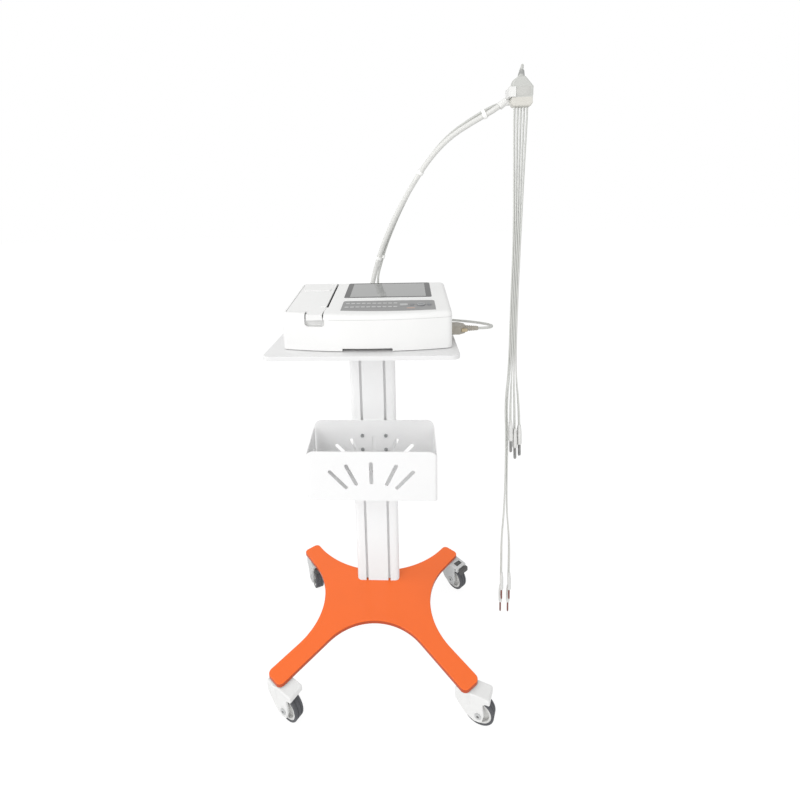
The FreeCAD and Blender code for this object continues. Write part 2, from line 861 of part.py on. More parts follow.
def make_basket():
    half = s.basket_width / 2
    skin = s.basket_sheet
    bend = s.basket_bend
    back = -s.column_front
    front = back - s.basket_depth
    basket = Piece("basket")
    outer = rounded([(-half, front), (half, front), (half, back), (-half, back)], [bend, bend, 0, 0])
    basket.pad("XY_Plane", [outer], "basket_back_top - basket_floor", "basket_floor")
    x, y = half - skin, front + skin
    inner = rounded([(-x, y), (x, y), (x, back - skin), (-x, back - skin)], [bend - skin, bend - skin, 0, 0])
    basket.pocket("XY_Plane", [inner], "basket_back_top - basket_floor - basket_sheet", "basket_back_top")
    drop = s.basket_side_drop
    over = s.basket_back_top + 1
    sides = rounded([
        (front - 1, s.basket_front_top), (front + bend, s.basket_front_top),
        (front + bend, s.basket_front_top - drop), (back - skin, s.basket_back_top - drop),
        (back - skin, over), (front - 1, over),
    ], 0)
    gap = back - skin - s.basket_corner_gap
    slits = rectangle(gap, s.basket_floor + bend, back - skin, over)
    for cut in (sides, slits):
        basket.pocket("YZ_Plane", [cut], "basket_width + 2", side="Symmetric")
    fronts = [corner_cut(side, s.basket_front_top) for side in (-1, 1)]
    basket.pocket("XZ_Plane", fronts, "basket_bend + 1", "column_front + basket_depth + 1")
    backs = [corner_cut(side, s.basket_back_top) for side in (-1, 1)]
    basket.pocket("XZ_Plane", backs, "3 * basket_sheet", "column_front + 2 * basket_sheet")
    basket.pocket("XZ_Plane", vents(), "2 * basket_depth", "column_front + 1.5 * basket_depth")
    middle = (front + back) / 2
    low = s.basket_floor + s.side_vent_low
    high = low + s.side_vent_length
    rows = [middle + i * s.side_vent_spacing for i in (-1, 0, 1)]
    basket.pocket("YZ_Plane", [slot((y, low), (y, high), s.vent_width) for y in rows], "basket_width + 2",
                  side="Symmetric")
    holes = [circle(x, z, s.basket_screw_radius + s.fit_gap) for x, z in basket_screw_points()]
    basket.pocket("XZ_Plane", holes, "2 * basket_sheet", "column_front - basket_sheet", reverse=True)
    make_basket_screws(back)


def basket_screw_points():
    """Screw places on the column's two slots."""
    half = s.slot_spacing / 2
    return [(x, z) for x in (-half, half) for z in (s.basket_screw_low, s.basket_screw_high)]


def make_basket_screws(back):
    """Screws through the basket's back into nuts in the column's slots."""
    seat = back - s.basket_sheet
    nut_face = back + s.slot_lip + s.fit_gap
    tip = nut_face + s.nut_wall
    screw = turned("basket_screw", [
        (0, -s.basket_screw_head), (s.basket_screw_cap, -s.basket_screw_head), (s.basket_screw_cap, 0),
        (s.basket_screw_radius, 0), (s.basket_screw_radius, tip - seat), (0, tip - seat),
    ])
    nut = Piece("nut", keep=False)
    plate = centred(0, 0, s.nut_width, s.nut_height, 1)
    nut.pad("XZ_Plane", [plate], "nut_wall", reverse=True)
    nut.pocket("XZ_Plane", [circle(0, 0, s.basket_screw_radius + s.fit_gap / 2)], "nut_wall")
    lay = Rotation(X_AXIS, -90)
    places = basket_screw_points()
    copies("basket_screws", screw, [Placement(Vector(x, seat, z), lay) for x, z in places])
    copies("basket_nuts", nut.body, [at(x, nut_face, z) for x, z in places])


# Machine

def machine_place():
    """Machine's own frame: middle of its footprint on the tray."""
    return at(s.machine_side, -s.machine_back - s.case_depth / 2, s.tray_top)


def panel_tilt():
    """Frame of the sloping top, from its front edge, in the machine's frame."""
    return Placement(Vector(0, -s.panel_front, s.panel_height), Rotation(X_AXIS, s.panel_slope))


def panel_place():
    """Frame of the sloping top in the stand's frame."""
    return machine_place() * panel_tilt()


def case_outline():
    """Plan of the machine: straight back and sides, bowed front."""
    half = s.case_width / 2
    back = s.case_depth / 2
    corner = s.front_bow - back
    return [
        Part.LineSegment(Vector(half, corner), Vector(half, back)),
        Part.LineSegment(Vector(half, back), Vector(-half, back)),
        Part.LineSegment(Vector(-half, back), Vector(-half, corner)),
        Part.Arc(Vector(-half, corner), Vector(0, -back), Vector(half, corner)),
    ]


def inner_plan():
    """Plan of the space inside the case."""
    half = s.case_width / 2 - s.side_wall
    back = s.case_depth / 2 - s.side_wall
    return -half, s.front_bow + s.side_wall - s.case_depth / 2, half, back


def panel_level(y):
    """Height of the sloping top at a depth in the machine's frame."""
    return s.panel_height + (y + s.panel_front) * math.tan(math.radians(s.panel_slope))


def make_lower_case():
    case = Piece("lower_case", machine_place())
    case.pad("XY_Plane", [case_outline()], "seam_height - foot_height", "foot_height")
    case.fillet(upright, "case_round")
    x0, y0, x1, y1 = inner_plan()
    room = rectangle(x0, y0, x1, y1, s.case_round - s.side_wall)
    case.pocket("XY_Plane", [room], "seam_height - foot_height - floor_wall", "seam_height")
    posts = [circle(x, y, s.post_radius) for x, y in post_points()]
    case.pad("XY_Plane", posts, "post_height", "foot_height + floor_wall")
    recess = rectangle(-s.recess_left, s.seam_height - s.recess_height, -s.recess_right,
                       s.seam_height + s.recess_round + 1, s.recess_round)
    cut_front(case, recess, "recess_depth")
    notch = centred(s.notch_side, s.foot_height, s.notch_width, 2 * s.notch_height, 2)
    cut_front(case, notch, "notch_depth")
    socket = centred(-s.socket_middle, s.socket_height, s.socket_width + 2 * s.fit_gap,
                     s.socket_wall + 2 * s.fit_gap, 2)
    case.pocket("YZ_Plane", [socket], "2 * side_wall", "case_width / 2 + 1")
    inlet = centred(-s.inlet_side, s.inlet_height, s.inlet_width + 2 * s.fit_gap,
                    s.inlet_wall + 2 * s.fit_gap, 3)
    stud = circle(s.stud_side, s.stud_height, s.stud_radius + s.fit_gap)
    case.pocket("XZ_Plane", [inlet, stud], "2 * side_wall", "2 * side_wall - case_depth / 2 - 1")
    return case


def cut_front(case, outline, depth):
    """Cut an outline into the bowed front to a depth behind its middle line."""
    case.pocket("XZ_Plane", [outline], f"front_bow / 2 + {depth}", "case_depth / 2 + 1")


def post_points():
    """Posts that carry the board, inside its corners."""
    x = s.board_width / 2 - 2 * s.post_radius
    y = s.board_depth / 2 - 2 * s.post_radius
    return [(s.board_side + i * x, s.board_middle + j * y) for i in (-1, 1) for j in (-1, 1)]


def make_upper_case():
    case = Piece("upper_case", machine_place())
    case.pad("XY_Plane", [case_outline()], "2 * seam_height", "seam_height")
    case.fillet(upright, "case_round")
    reach = s.case_depth
    high = 4 * s.seam_height
    above = rounded([
        (-reach, panel_level(-reach)), (reach, panel_level(reach)), (reach, high), (-reach, high),
    ], 0)
    case.pocket("YZ_Plane", [above], "2 * case_width", side="Symmetric")
    rim = panel_level(-s.case_depth / 2) - 0.01
    case.fillet(lambda e: e.BoundBox.ZMin > rim, "case_edge")
    inset = s.case_round / 8
    front = inner_plan()[1] + inset
    back = inner_plan()[3] - inset
    skin = s.skin_wall / math.cos(math.radians(s.panel_slope))
    low = s.seam_height - 1
    room = rounded([
        (front, low), (back, low), (back, panel_level(back) - skin), (front, panel_level(front) - skin),
    ], 0)
    case.pocket("YZ_Plane", [room], "case_width - 2 * side_wall - case_round / 4", side="Symmetric")
    cut_panel(case)
    return case


def cut_panel(case):
    """Window, keypad, key and paper bay openings in the sloping top."""
    tilt = panel_tilt()
    gap = s.fit_gap
    glass = centred(s.glass_side, s.glass_middle, s.glass_width + 2 * gap, s.glass_depth + 2 * gap,
                    s.glass_round)
    case.pocket("XY_Plane", [glass], "glass_wall", tilt=tilt)
    window = centred(s.glass_side, s.glass_middle, s.display_width, s.display_depth, 1)
    case.pocket("XY_Plane", [window], "2 * skin_wall", tilt=tilt)
    case.pocket("XY_Plane", [keypad_outline(gap)], "keypad_wall", tilt=tilt)
    case.pocket("XY_Plane", key_outlines(s.key_play), "2 * skin_wall", tilt=tilt)
    case.pocket("XY_Plane", [bay_outline()], "bay_cut", tilt=tilt)
    pin = circle(hinge_point()[0], hinge_point()[1], s.door_pin_radius + gap / 2)
    start = tilt.multVec(Vector(0, s.bay_front - s.door_pin - gap, 0))
    across = Placement(start, tilt.Rotation * Rotation(X_AXIS, 90))
    case.pocket("XY_Plane", [pin], "bay_back - bay_front + 2 * door_pin + 2 * fit_gap", tilt=across)


def keypad_outline(gap):
    """Outline of the key panel, whose front edge follows the bowed front."""
    half = s.keypad_width / 2 + gap
    side = s.glass_side + s.keypad_shift
    front = s.keypad_front - gap
    back = s.keypad_front + s.keypad_depth + gap
    outline = rounded([
        (side - half, front), (side - half, back), (side + half, back), (side + half, front),
    ], [0, s.keypad_round, s.keypad_round, 0])
    return outline[:-1] + [Part.Arc(Vector(side + half, front), Vector(side, front - s.keypad_bow),
                                    Vector(side - half, front))]


def key_places():
    """Middle and width of each square key, by name."""
    return {
        "key_wide": (s.wide_key_side, s.wide_key_width),
        "key_small": (s.small_key_side, s.small_key_width),
        "key_side": (s.side_key_side, s.side_key_width),
    }


def key_outlines(gap):
    """Outlines of all four travelling keys, grown by a gap."""
    return [key_outline(name, gap) for name in key_places()] + [pad_outline(gap)]


def pad_outline(gap):
    """Outline of the round pad key."""
    return circle(s.pad_key_side, s.key_row, s.pad_key_radius - 2 * s.key_play + gap)


def key_outline(name, gap):
    """Outline of one square key."""
    x, width = key_places()[name]
    return centred(x, s.key_row, width + 2 * gap - 4 * s.key_play, s.key_depth + 2 * gap, 2)


def letter_outlines():
    """Two rows of small domes over the letter contacts."""
    left = s.glass_side + s.keypad_shift - s.keypad_width / 2 + s.letter_inset
    outlines = []
    for line in (0, 1):
        y = s.key_row + s.letter_lead - line * 2 * s.letter_pitch
        for i in range(int(s.letter_count)):
            outlines.append(centred(left + i * s.letter_pitch, y, s.letter_width, s.letter_depth, 1))
    return outlines


def make_panel():
    """Glass, display, key panel and keys on the sloping top."""
    place = panel_place()
    glass = Piece("screen_glass", place)
    pane = centred(s.glass_side, s.glass_middle, s.glass_width, s.glass_depth, s.glass_round)
    glass.pad("XY_Plane", [pane], "glass_wall", "-glass_wall")
    frame = 2 * s.display_frame
    display = Piece("display", place)
    module = centred(s.glass_side, s.glass_middle, s.display_width + frame, s.display_depth + frame)
    display.pad("XY_Plane", [module], "display_wall", "-skin_wall - display_wall - fit_gap")
    panel = Piece("keypad", place)
    panel.pad("XY_Plane", [keypad_outline(0)], "keypad_wall", "-keypad_wall")
    panel.pad("XY_Plane", letter_outlines(), "letter_rise + keypad_wall / 2", "-keypad_wall / 2")
    panel.pocket("XY_Plane", key_outlines(s.key_play), "2 * keypad_wall", "keypad_wall")
    for name in key_places():
        key = Piece(name, place)
        key.pad("XY_Plane", [key_outline(name, 0)], "key_height + key_rise", "-key_height")
        key.fillet(at_level(s.key_rise), "letter_rise")
    pad = Piece("key_pad", place)
    pad.pad("XY_Plane", [pad_outline(0)], "key_height + key_rise", "-key_height")


def bay_outline():
    """Opening over the paper bay, with the paper's way out and the tab's notch."""
    out = s.bay_right - s.exit_width
    ahead = -s.front_bow
    return rounded([
        (-s.bay_left, s.bay_front), (-s.recess_left, s.bay_front), (-s.recess_left, ahead),
        (-s.bay_right, ahead), (-s.bay_right, s.slot_front), (-out, s.slot_front), (-out, s.bay_back),
        (-s.bay_left, s.bay_back),
    ], 0)


def hinge_point():
    """Door hinge in the panel's front view: side and height."""
    return -s.bay_left + s.door_hinge_inset, -s.door_hinge_drop


def make_door():
    """Paper door with its hinge pins, finger tab, ridge and roller brackets."""
    gap = s.door_gap
    side, level = hinge_point()
    front = s.bay_front + gap
    back = s.bay_back - gap
    left = side - s.door_hinge_drop
    door = Piece("paper_door", panel_place())
    leaf = rounded([
        (left, front), (-s.door_tab_left, front), (-s.door_tab_left, -s.door_tab_front),
        (-s.door_tab_right, -s.door_tab_front), (-s.door_tab_right, front), (-s.bay_right - gap, front),
        (-s.bay_right - gap, back), (left, back),
    ], 0)
    door.pad("XY_Plane", [leaf], "door_wall", "-door_wall")
    ridge = centred((left - s.bay_right) / 2, s.door_ridge_middle, s.door_ridge_width, s.door_ridge_depth, 3)
    door.pad("XY_Plane", [ridge], "door_ridge + door_wall / 2", "-door_wall / 2")
    lip = -s.door_tab_front
    apron = rectangle(-s.door_tab_left, lip, -s.door_tab_right, lip + s.door_apron_wall)
    door.pad("XY_Plane", [apron], "door_apron + door_wall / 2", "-door_apron - door_wall")
    barrel = circle(side, level, s.door_hinge_drop)
    door.pad("XZ_Plane", [barrel], "bay_back - bay_front - 2 * door_gap", "-bay_front - door_gap",
             reverse=True)
    pins = circle(side, level, s.door_pin_radius)
    door.pad("XZ_Plane", [pins], "bay_back - bay_front + 2 * door_pin", "-bay_front + door_pin",
             reverse=True)
    ear = centred(-s.roller_side - 2, -s.roller_drop / 2 - 1, s.bracket_width, s.roller_drop + 5, 2)
    for start in ("-roller_front + bracket_wall + hub_gap", "-roller_back - hub_gap"):
        door.pad("XZ_Plane", [ear], "bracket_wall", start, reverse=True)
    hole = circle(-s.roller_side, -s.roller_drop, s.roller_shaft_radius + s.fit_gap / 2)
    door.pocket("XZ_Plane", [hole], "bay_back", "-bay_front")
    return door


def make_paper_drive():
    """Roller under the door, print head in the case and paper roll in the bay."""
    place = panel_place()
    roller = Piece("platen_roller", place)
    axis = circle(-s.roller_side, -s.roller_drop, s.roller_radius)
    roller.pad("XZ_Plane", [axis], "roller_back - roller_front", "-roller_front", reverse=True)
    shaft = circle(-s.roller_side, -s.roller_drop, s.roller_shaft_radius)
    roller.pad("XZ_Plane", [shaft], "roller_back - roller_front + 2 * bracket_wall + 2 * hub_gap",
               "-roller_front + bracket_wall + hub_gap", reverse=True)
    left = -s.roller_side + s.roller_radius + s.head_gap
    head = Piece("print_head", place)
    top = -s.skin_wall - s.fit_gap / 2
    bar = rounded([(left, top), (left + s.print_head_width, top), (left + s.print_head_width, top - 4),
                   (left + 5, top - s.print_head_height), (left, top - s.print_head_height)], 0)
    head.pad("XZ_Plane", [bar], "roller_back - roller_front", "-roller_front", reverse=True)
    floor = s.foot_height + s.floor_wall
    paper = Piece("paper_roll", machine_place())
    centre = (-s.paper_side, floor + s.paper_radius)
    paper.pad("XZ_Plane", [circle(*centre, s.paper_radius), circle(*centre, s.paper_core_radius)],
              "paper_length", "paper_length / 2 - paper_middle", reverse=True)


def make_inside():
    """Board, battery, feet and the fittings in the walls of the machine."""
    place = machine_place()
    floor = "foot_height + floor_wall"
    board = Piece("main_board", place)
    sheet_plan = centred(s.board_side, s.board_middle, s.board_width, s.board_depth, 3)
    board.pad("XY_Plane", [sheet_plan], "board_wall", f"{floor} + post_height")
    chips = [centred(s.board_side + i * s.chip_width * 1.5, s.board_middle, s.chip_width, s.chip_width, 1)
             for i in (-1, 0, 1)]
    board.pad("XY_Plane", chips, "chip_height", f"{floor} + post_height + board_wall")
    battery = Piece("battery", place)
    battery.pad("XY_Plane", [centred(s.board_side, s.board_middle, s.battery_width, s.battery_depth, 4)],
                "battery_height", floor)
    foot = Piece("foot", keep=False)
    foot.pad("XY_Plane", [circle(0, 0, s.foot_radius)], "foot_height")
    x = s.case_width / 2 - s.foot_inset
    y = s.case_depth / 2 - s.foot_inset
    copies("case_feet", foot.body, [place * at(i * x, j * y, 0) for i in (-1, 1) for j in (-1, 1)])
    make_wall_fittings(place)


def make_wall_fittings(place):
    """Patient socket, mains inlet and ground stud."""
    socket = Piece("patient_socket", place)
    socket.pad("YZ_Plane", [centred(-s.socket_middle, s.socket_height, s.socket_width, s.socket_wall, 2)],
               "socket_depth", "case_width / 2 - socket_depth")
    socket.pad("YZ_Plane", [centred(-s.socket_middle, s.socket_height, s.flange_width, s.flange_height, 2)],
               "flange_wall", "case_width / 2")
    make_inlet(place)
    stud = Piece("ground_stud", place)
    back = "-case_depth / 2"
    stud.pad("XZ_Plane", [circle(s.stud_side, s.stud_height, s.stud_radius)], "stud_length + 2 * side_wall",
             f"{back} + 2 * side_wall", reverse=True)
    stud.pad("XZ_Plane", [circle(s.stud_side, s.stud_height, s.stud_collar_radius)], "stud_collar", back,
             reverse=True)


def make_inlet(place):
    """Mains inlet with three flat pins in its mouth."""
    inlet = Piece("power_inlet", place)
    back = "-case_depth / 2"
    x, z = -s.inlet_side, s.inlet_height
    inlet.pad("XZ_Plane", [centred(x, z, s.inlet_width, s.inlet_wall, 3)], "inlet_pocket + inlet_floor",
              f"{back} + inlet_pocket + inlet_floor", reverse=True)
    rim = 2 * s.inlet_rim
    inlet.pad("XZ_Plane", [centred(x, z, s.inlet_width + rim, s.inlet_wall + rim, 4)], "flange_wall", back,
              reverse=True)
    mouth = centred(x, z, s.inlet_width - rim / 2, s.inlet_wall - rim / 2, 3)
    inlet.pocket("XZ_Plane", [mouth], "inlet_pocket + flange_wall", f"{back} - flange_wall", reverse=True)
    pins = [centred(x + i * s.pin_spacing, z + j * s.pin_step, s.pin_wall, s.pin_width)
            for i, j in ((-1, -1), (0, 1), (1, -1))]
    inlet.pad("XZ_Plane", pins, "inlet_pocket", f"{back} + inlet_pocket", reverse=True)


# Patient plug

def plug_frame():
    """Plug's frame at the socket's face, with X pointing out of the machine."""
    return machine_place() * at(s.case_width / 2 + s.flange_wall, -s.socket_middle, s.socket_height)


def make_plug():
    place = plug_frame()
    hood = Piece("plug_hood", place)
    tip = s.relief_radius + 2
    half = s.hood_width / 2
    neck = s.hood_length - s.hood_taper
    plan = rounded([
        (0, -half), (neck, -half), (s.hood_length, -tip), (s.hood_length, tip), (neck, half), (0, half),
    ], [0, s.hood_round, 2, 2, s.hood_round, 0])
    hood.pad("XY_Plane", [plan], "hood_height", side="Symmetric")
    hood.fillet(lambda e: abs(abs(e.BoundBox.ZMin) - s.hood_height / 2) < 1e-4
                and abs(abs(e.BoundBox.ZMax) - s.hood_height / 2) < 1e-4, "block_round")
    start = s.hood_length - 2
    step = s.relief_length / s.relief_rings
    profile = [(start, 0), (start, s.relief_radius)]
    for i in range(int(s.relief_rings)):
        near = s.hood_length + i * step
        wide = s.relief_radius + (s.relief_tip_radius - s.relief_radius) * i / s.relief_rings
        profile += [(near + 0.3 * step, wide), (near + 0.4 * step, wide - 1), (near + 0.9 * step, wide - 1),
                    (near + step, wide - 0.4)]
    profile.append((s.hood_length + s.relief_length, 0))
    hood.revolve("XY_Plane", [rounded(profile, 0)], "H_Axis")
    make_plug_screws(hood, place)


def make_plug_screws(hood, place):
    """Two thumb screws that run through the plug's hood."""
    y = s.thumb_spacing / 2
    seats = [circle(i * y, 0, s.thumb_radius + s.fit_gap) for i in (-1, 1)]
    hood.pocket("YZ_Plane", seats, "thumb_seat", "hood_length")
    shafts = [circle(i * y, 0, s.thumb_shaft_radius + s.fit_gap / 2) for i in (-1, 1)]
    hood.pocket("YZ_Plane", shafts, "hood_length", "hood_length")
    low = s.hood_length - s.thumb_seat
    high = low + s.thumb_length
    thumb = turned("thumb", [
        (0, 0), (s.thumb_shaft_radius, 0), (s.thumb_shaft_radius, low), (s.thumb_radius, low),
        (s.thumb_radius, high), (0, high),
    ])
    lay = Placement(Vector(), Rotation(Y_AXIS, 90))
    copies("plug_screws", thumb, [place * at(0, i * y, 0) * lay for i in (-1, 1)])


# Cords: straight runs joined by tangent arcs as large as the runs allow

def path_edges(points):
    """Edges of a route and the radii of its arcs."""
    edges = []
    radii = []
    last = points[0]
    for before, corner, after in zip(points, points[1:], points[2:]):
        turn = (corner - before).getAngle(after - corner)
        shorter = min((corner - before).Length, (after - corner).Length)
        radius = 0.45 * shorter / math.tan(turn / 2)
        start, middle, end = corner_arc(before, corner, after, radius)
        edges.append(Part.LineSegment(last, start).toShape())
        edges.append(Part.Arc(start, middle, end).toShape())
        radii.append(radius)
        last = end
    edges.append(Part.LineSegment(last, points[-1]).toShape())
    return edges, radii


def tube_shape(name, points, radius):
    """Solid of a round cord along a route, with its least radius and volume printed."""
    edges, radii = path_edges(points)
    path = Part.Wire(edges)
    ring = Part.Wire(Part.makeCircle(radius, points[0], points[1] - points[0]))
    shape = path.makePipeShell([ring], True, False)
    share = shape.Volume / (math.pi * radius ** 2 * path.Length)
    print(f"{name}: radii {[round(r) for r in radii]}, volume share {share:.4f}")
    return shape


# Boom, its cable and the junction block

# Bends of the boom: shares of its reach, its rise and its set back
BOOM_SHAPE = (
    (0, 0, 0), (0, 0.116, 0), (0.045, 0.239, 0), (0.12, 0.379, 0), (0.233, 0.528, 0), (0.362, 0.664, 0),
    (0.492, 0.783, 0), (0.634, 0.871, 0), (0.803, 0.93, 0), (0.951, 0.973, 0.33), (1, 1, 1),
)


def boom_route():
    """Bends of the boom in its own plane: reach, height and set back."""
    foot = s.tray_top + s.boom_lift
    return [Vector(out * s.boom_reach, foot + up * s.boom_rise, back * s.boom_back)
            for out, up, back in BOOM_SHAPE]


def boom_point(reach, height, behind=0):
    """Point beside the boom's upright plane."""
    turn = math.radians(s.boom_turn)
    outward = Vector(math.cos(turn), -math.sin(turn), 0)
    backward = Vector(math.sin(turn), math.cos(turn), 0)
    return outward * reach + backward * behind + Vector(0, 0, height)


def boom_points():
    """Bends of the boom in the stand's frame."""
    return [boom_point(*point) for point in boom_route()]


def make_boom():
    solid("boom", tube_shape("boom", boom_points(), s.boom_radius))
    floor = s.tray_top
    lift = floor + s.boom_lift - s.fit_gap
    bore = s.boom_radius + s.running_gap
    deep = floor - s.tray_sheet - s.head_wall
    ledge = floor + s.socket_flange
    top = floor + s.socket_rise
    turned("boom_socket", [
        (0, deep), (s.socket_spigot_radius, deep), (s.socket_spigot_radius, floor),
        (s.socket_flange_radius, floor), (s.socket_flange_radius, ledge), (s.socket_radius, ledge),
        (s.socket_radius, top), (bore, top), (bore, lift), (0, lift),
    ], keep=True)


def make_clips(boom, cable):
    """Straps that hold the cable to the boom in the middle of three runs."""
    straps = []
    for run in (2, 5, 8):
        rings = []
        bores = []
        for points, radius in ((boom, s.boom_radius), (cable, s.cable_radius)):
            along = (points[run + 1] - points[run]).normalize()
            middle = (points[run + 1] + points[run]) / 2
            start = middle - along * (s.clip_length / 2)
            rings.append(Part.makeCylinder(radius + s.clip_wall, s.clip_length, start, along))
            room = start - along * s.clip_length
            bores.append(Part.makeCylinder(radius + s.fit_gap, 3 * s.clip_length, room, along))
        straps.append(rings[0].fuse(rings[1]).cut(Part.makeCompound(bores)).removeSplitter())
    solid("boom_clips", Part.makeCompound([shape for strap in straps for shape in strap.Solids]))


# Offsets of the cable from the boom's bends: towards its upper side and behind its plane
CABLE_OFFSETS = ((-5, 8.2), (-2, 9.4), (1.5, 9.4), (5, 8.2), (7.6, 6), (9, 3.6), (9.4, 5))

# Cable's way from the plug over the tray to the boom's foot: side, depth and height over the tray
CABLE_WAY = (
    (241, -185, 20.5), (256, -176, 19.5), (262, -158, 17.5), (258, -138, 15), (246, -117, 12.5),
    (228, -95, 9.8), (204, -73, 7), (172, -52, 4.3), (134, -41, 3.4), (92, -35, 3.6),
    (56, -30, 9), (34, -21, 26), (22.5, -12.5, 49), (19.5, -9, 71), (19.5, -9, 90),
)

# Cable's loop behind the junction block, from the block's foot
CABLE_LOOP = (
    (-27, 38, 14), (-10, 50, 19), (3, 57, 33), (7, 60, 53.6), (9, 60, 73), (11, 45, 85),
)


def boom_cable():
    """Route of the cable from the foot of the boom to the last clip."""
    side, deep, high = CABLE_WAY[-1]
    start = Vector(side, deep, s.tray_top + high)
    points = [start, start + Vector(0, 0, 11), boom_point(25, start.z + 31, 5)]
    route = boom_route()
    for i, (above, behind) in enumerate(CABLE_OFFSETS, start=3):
        along = (route[i + 1] - route[i - 1]).normalize()
        here = route[i] + Vector(-along.y, along.x, 0) * above
        points.append(boom_point(here.x, here.y, behind))
    return points


def block_place():
    """Middle of the junction block's foot, beside the boom's end."""
    return boom_points()[-1] + Vector(s.block_out, -s.block_ahead, -s.block_drop)


def block_relief():
    """Foot and direction of the junction block's strain relief."""
    tilt = math.radians(s.block_relief_tilt)
    foot = block_place() + Vector(-s.block_top_shift, 0, s.block_height - s.block_relief_sink)
    lean = math.radians(s.block_relief_lean)
    return foot, Vector(math.sin(lean), math.sin(tilt), math.cos(tilt)).normalize()


def make_cables():
    """Patient cable: plug to the foot of the boom, then along it to the block."""
    start = plug_frame().multVec(Vector(s.hood_length + s.relief_length, 0, 0))
    lower = [start] + [Vector(x, y, s.tray_top + rise) for x, y, rise in CABLE_WAY]
    solid("cable_lower", tube_shape("cable_lower", lower, s.cable_radius))
    upper = boom_cable()
    foot, axis = block_relief()
    tip = foot + axis * s.block_relief_length
    loop = [block_place() + Vector(*point) for point in CABLE_LOOP] + [tip + axis * s.cable_lead, tip]
    solid("cable_upper", tube_shape("cable_upper", upper + loop, s.cable_radius))
    return upper


def block_outline():
    """Front view of the junction block from the middle of its foot."""
    foot = s.block_foot_width / 2
    wide = s.block_width / 2
    top = s.block_top_width / 2
    shift = s.block_top_shift
    return rounded([
        (-foot, 0), (foot, 0), (wide, s.block_foot_flare), (wide, s.block_shoulder),
        (top - shift, s.block_height), (-top - shift, s.block_height),
        (s.block_flank - wide, s.block_far_shoulder), (-wide, s.block_shoulder), (-wide, s.block_foot_flare),
    ], s.block_corner)


def make_block():
    """Junction block with its strain relief, and the holder at the boom's end."""
    block = Piece("block_shell", Placement(block_place(), Rotation()), keep=False)
    block.pad("XZ_Plane", [block_outline()], "block_wall", side="Symmetric")
    half = s.block_wall / 2
    block.fillet(lambda e: abs(abs(e.BoundBox.YMin) - half) < 1e-4
                 and abs(abs(e.BoundBox.YMax) - half) < 1e-4, "block_round")
    edge = s.block_width / 2 - s.block_catch
    catches = [rectangle(min(i * edge, i * (edge + 2)), s.block_catch_low, max(i * edge, i * (edge + 2)),
                         s.block_catch_high) for i in (-1, 1)]
    block.pocket("XZ_Plane", catches, "2 * block_wall", side="Symmetric")
    start, axis = block_relief()
    relief = doc.addObject("Part::Cone", "relief")
    relief.setExpression("Radius1", bound("block_relief_radius"))
    relief.setExpression("Radius2", bound("block_relief_tip"))
    relief.setExpression("Height", bound("block_relief_length"))
    relief.Placement = Placement(start, Rotation(Z_AXIS, axis))
    joined = doc.addObject("Part::Fuse", "junction_block")
    joined.Label = "junction_block"
    joined.Base = block.body
    joined.Tool = relief
    SUBPARTS.append(joined)
    make_holder(block_place(), half + s.fit_gap)


def make_holder(place, half):
    """Collar on the boom's end and a clip round the block's left-hand edge."""
    before, end = boom_points()[-2:]
    along = (end - before).normalize()
    start = end - along * (s.collar_length - s.holder_lip_wall)
    collar = Part.makeCylinder(s.collar_radius, s.collar_length, start, along)
    left = place.x - s.block_width / 2 - s.fit_gap - s.holder_jaw
    low = place.z + s.holder_low
    face = place.y - half - s.holder_lip_wall
    back = place.y + half
    jaw = Part.makeBox(s.holder_jaw, back - face + s.holder_wall, s.holder_height, Vector(left, face, low))
    lip = Part.makeBox(s.holder_jaw + s.holder_lip, s.holder_lip_wall, s.holder_height,
                       Vector(left, face, low))
    plate = Part.makeBox(s.holder_plate, s.holder_wall, s.holder_height, Vector(left, back, low))
    foot = end.z - s.collar_radius
    arm = Part.makeBox(2 * s.collar_radius, s.holder_wall + s.collar_radius, low + s.holder_height - foot,
                       Vector(left, back, foot))
    shape = jaw.fuse([lip, plate, arm, collar]).removeSplitter()
    room = start - along * s.holder_lip_wall
    bore = Part.makeCylinder(s.boom_radius + s.fit_gap, s.collar_length, room, along)
    solid("block_holder", shape.cut(bore))


# Leads that hang from the block

# Shared upper part of each lead: drift to the side, share of its spacing and drop under the block
LEAD_SHAPE = ((0, 1, 0), (0, 1, 22), (0, 0.8, 110), (0.4, 0.56, 250), (-1.5, 0.55, 380), (-1.6, 0.56, 525))
CHEST_DROPS = (651, 667, 659)


def lead_ends():
    """Column and row of each lead in the block's foot."""
    return [(column, row) for column in range(5) for row in (-1, 1)]


def lead_route(column, row):
    """Route of one lead: out of the block, drawn together, then apart to its boot."""
    shift = (column - 2) * s.lead_pitch + row * s.lead_pitch / 4
    deep = row * s.lead_rows / 2
    points = [(side + shift * draw, deep * draw, drop) for side, draw, drop in LEAD_SHAPE]
    across = row * (s.boot_radius + s.boot_gap)
    if column >= 2:
        x = (column - 2) * s.chest_pitch - 1.5
        low = CHEST_DROPS[column - 2] + 3 * row
        points += [(x - 1.5, across, low - 40), (x, across, low)]
    else:
        x = column * s.limb_pitch - 13
        low = s.limb_drop + (row + 1) * s.limb_stagger / 2
        near = 3.7 * column
        points += [(near - 12, 11.2 + 1.8 * row, 610), (near - 7, 12.2 + 1.8 * row, 700),
                   (near - 7.6, 6 + 1.8 * row, 860), (x - 1, across - row, 940), (x, across, low - 43),
                   (x + 0.6, across, low)]
    place = block_place()
    return [place + Vector(side, ahead, -drop) for side, ahead, drop in points]


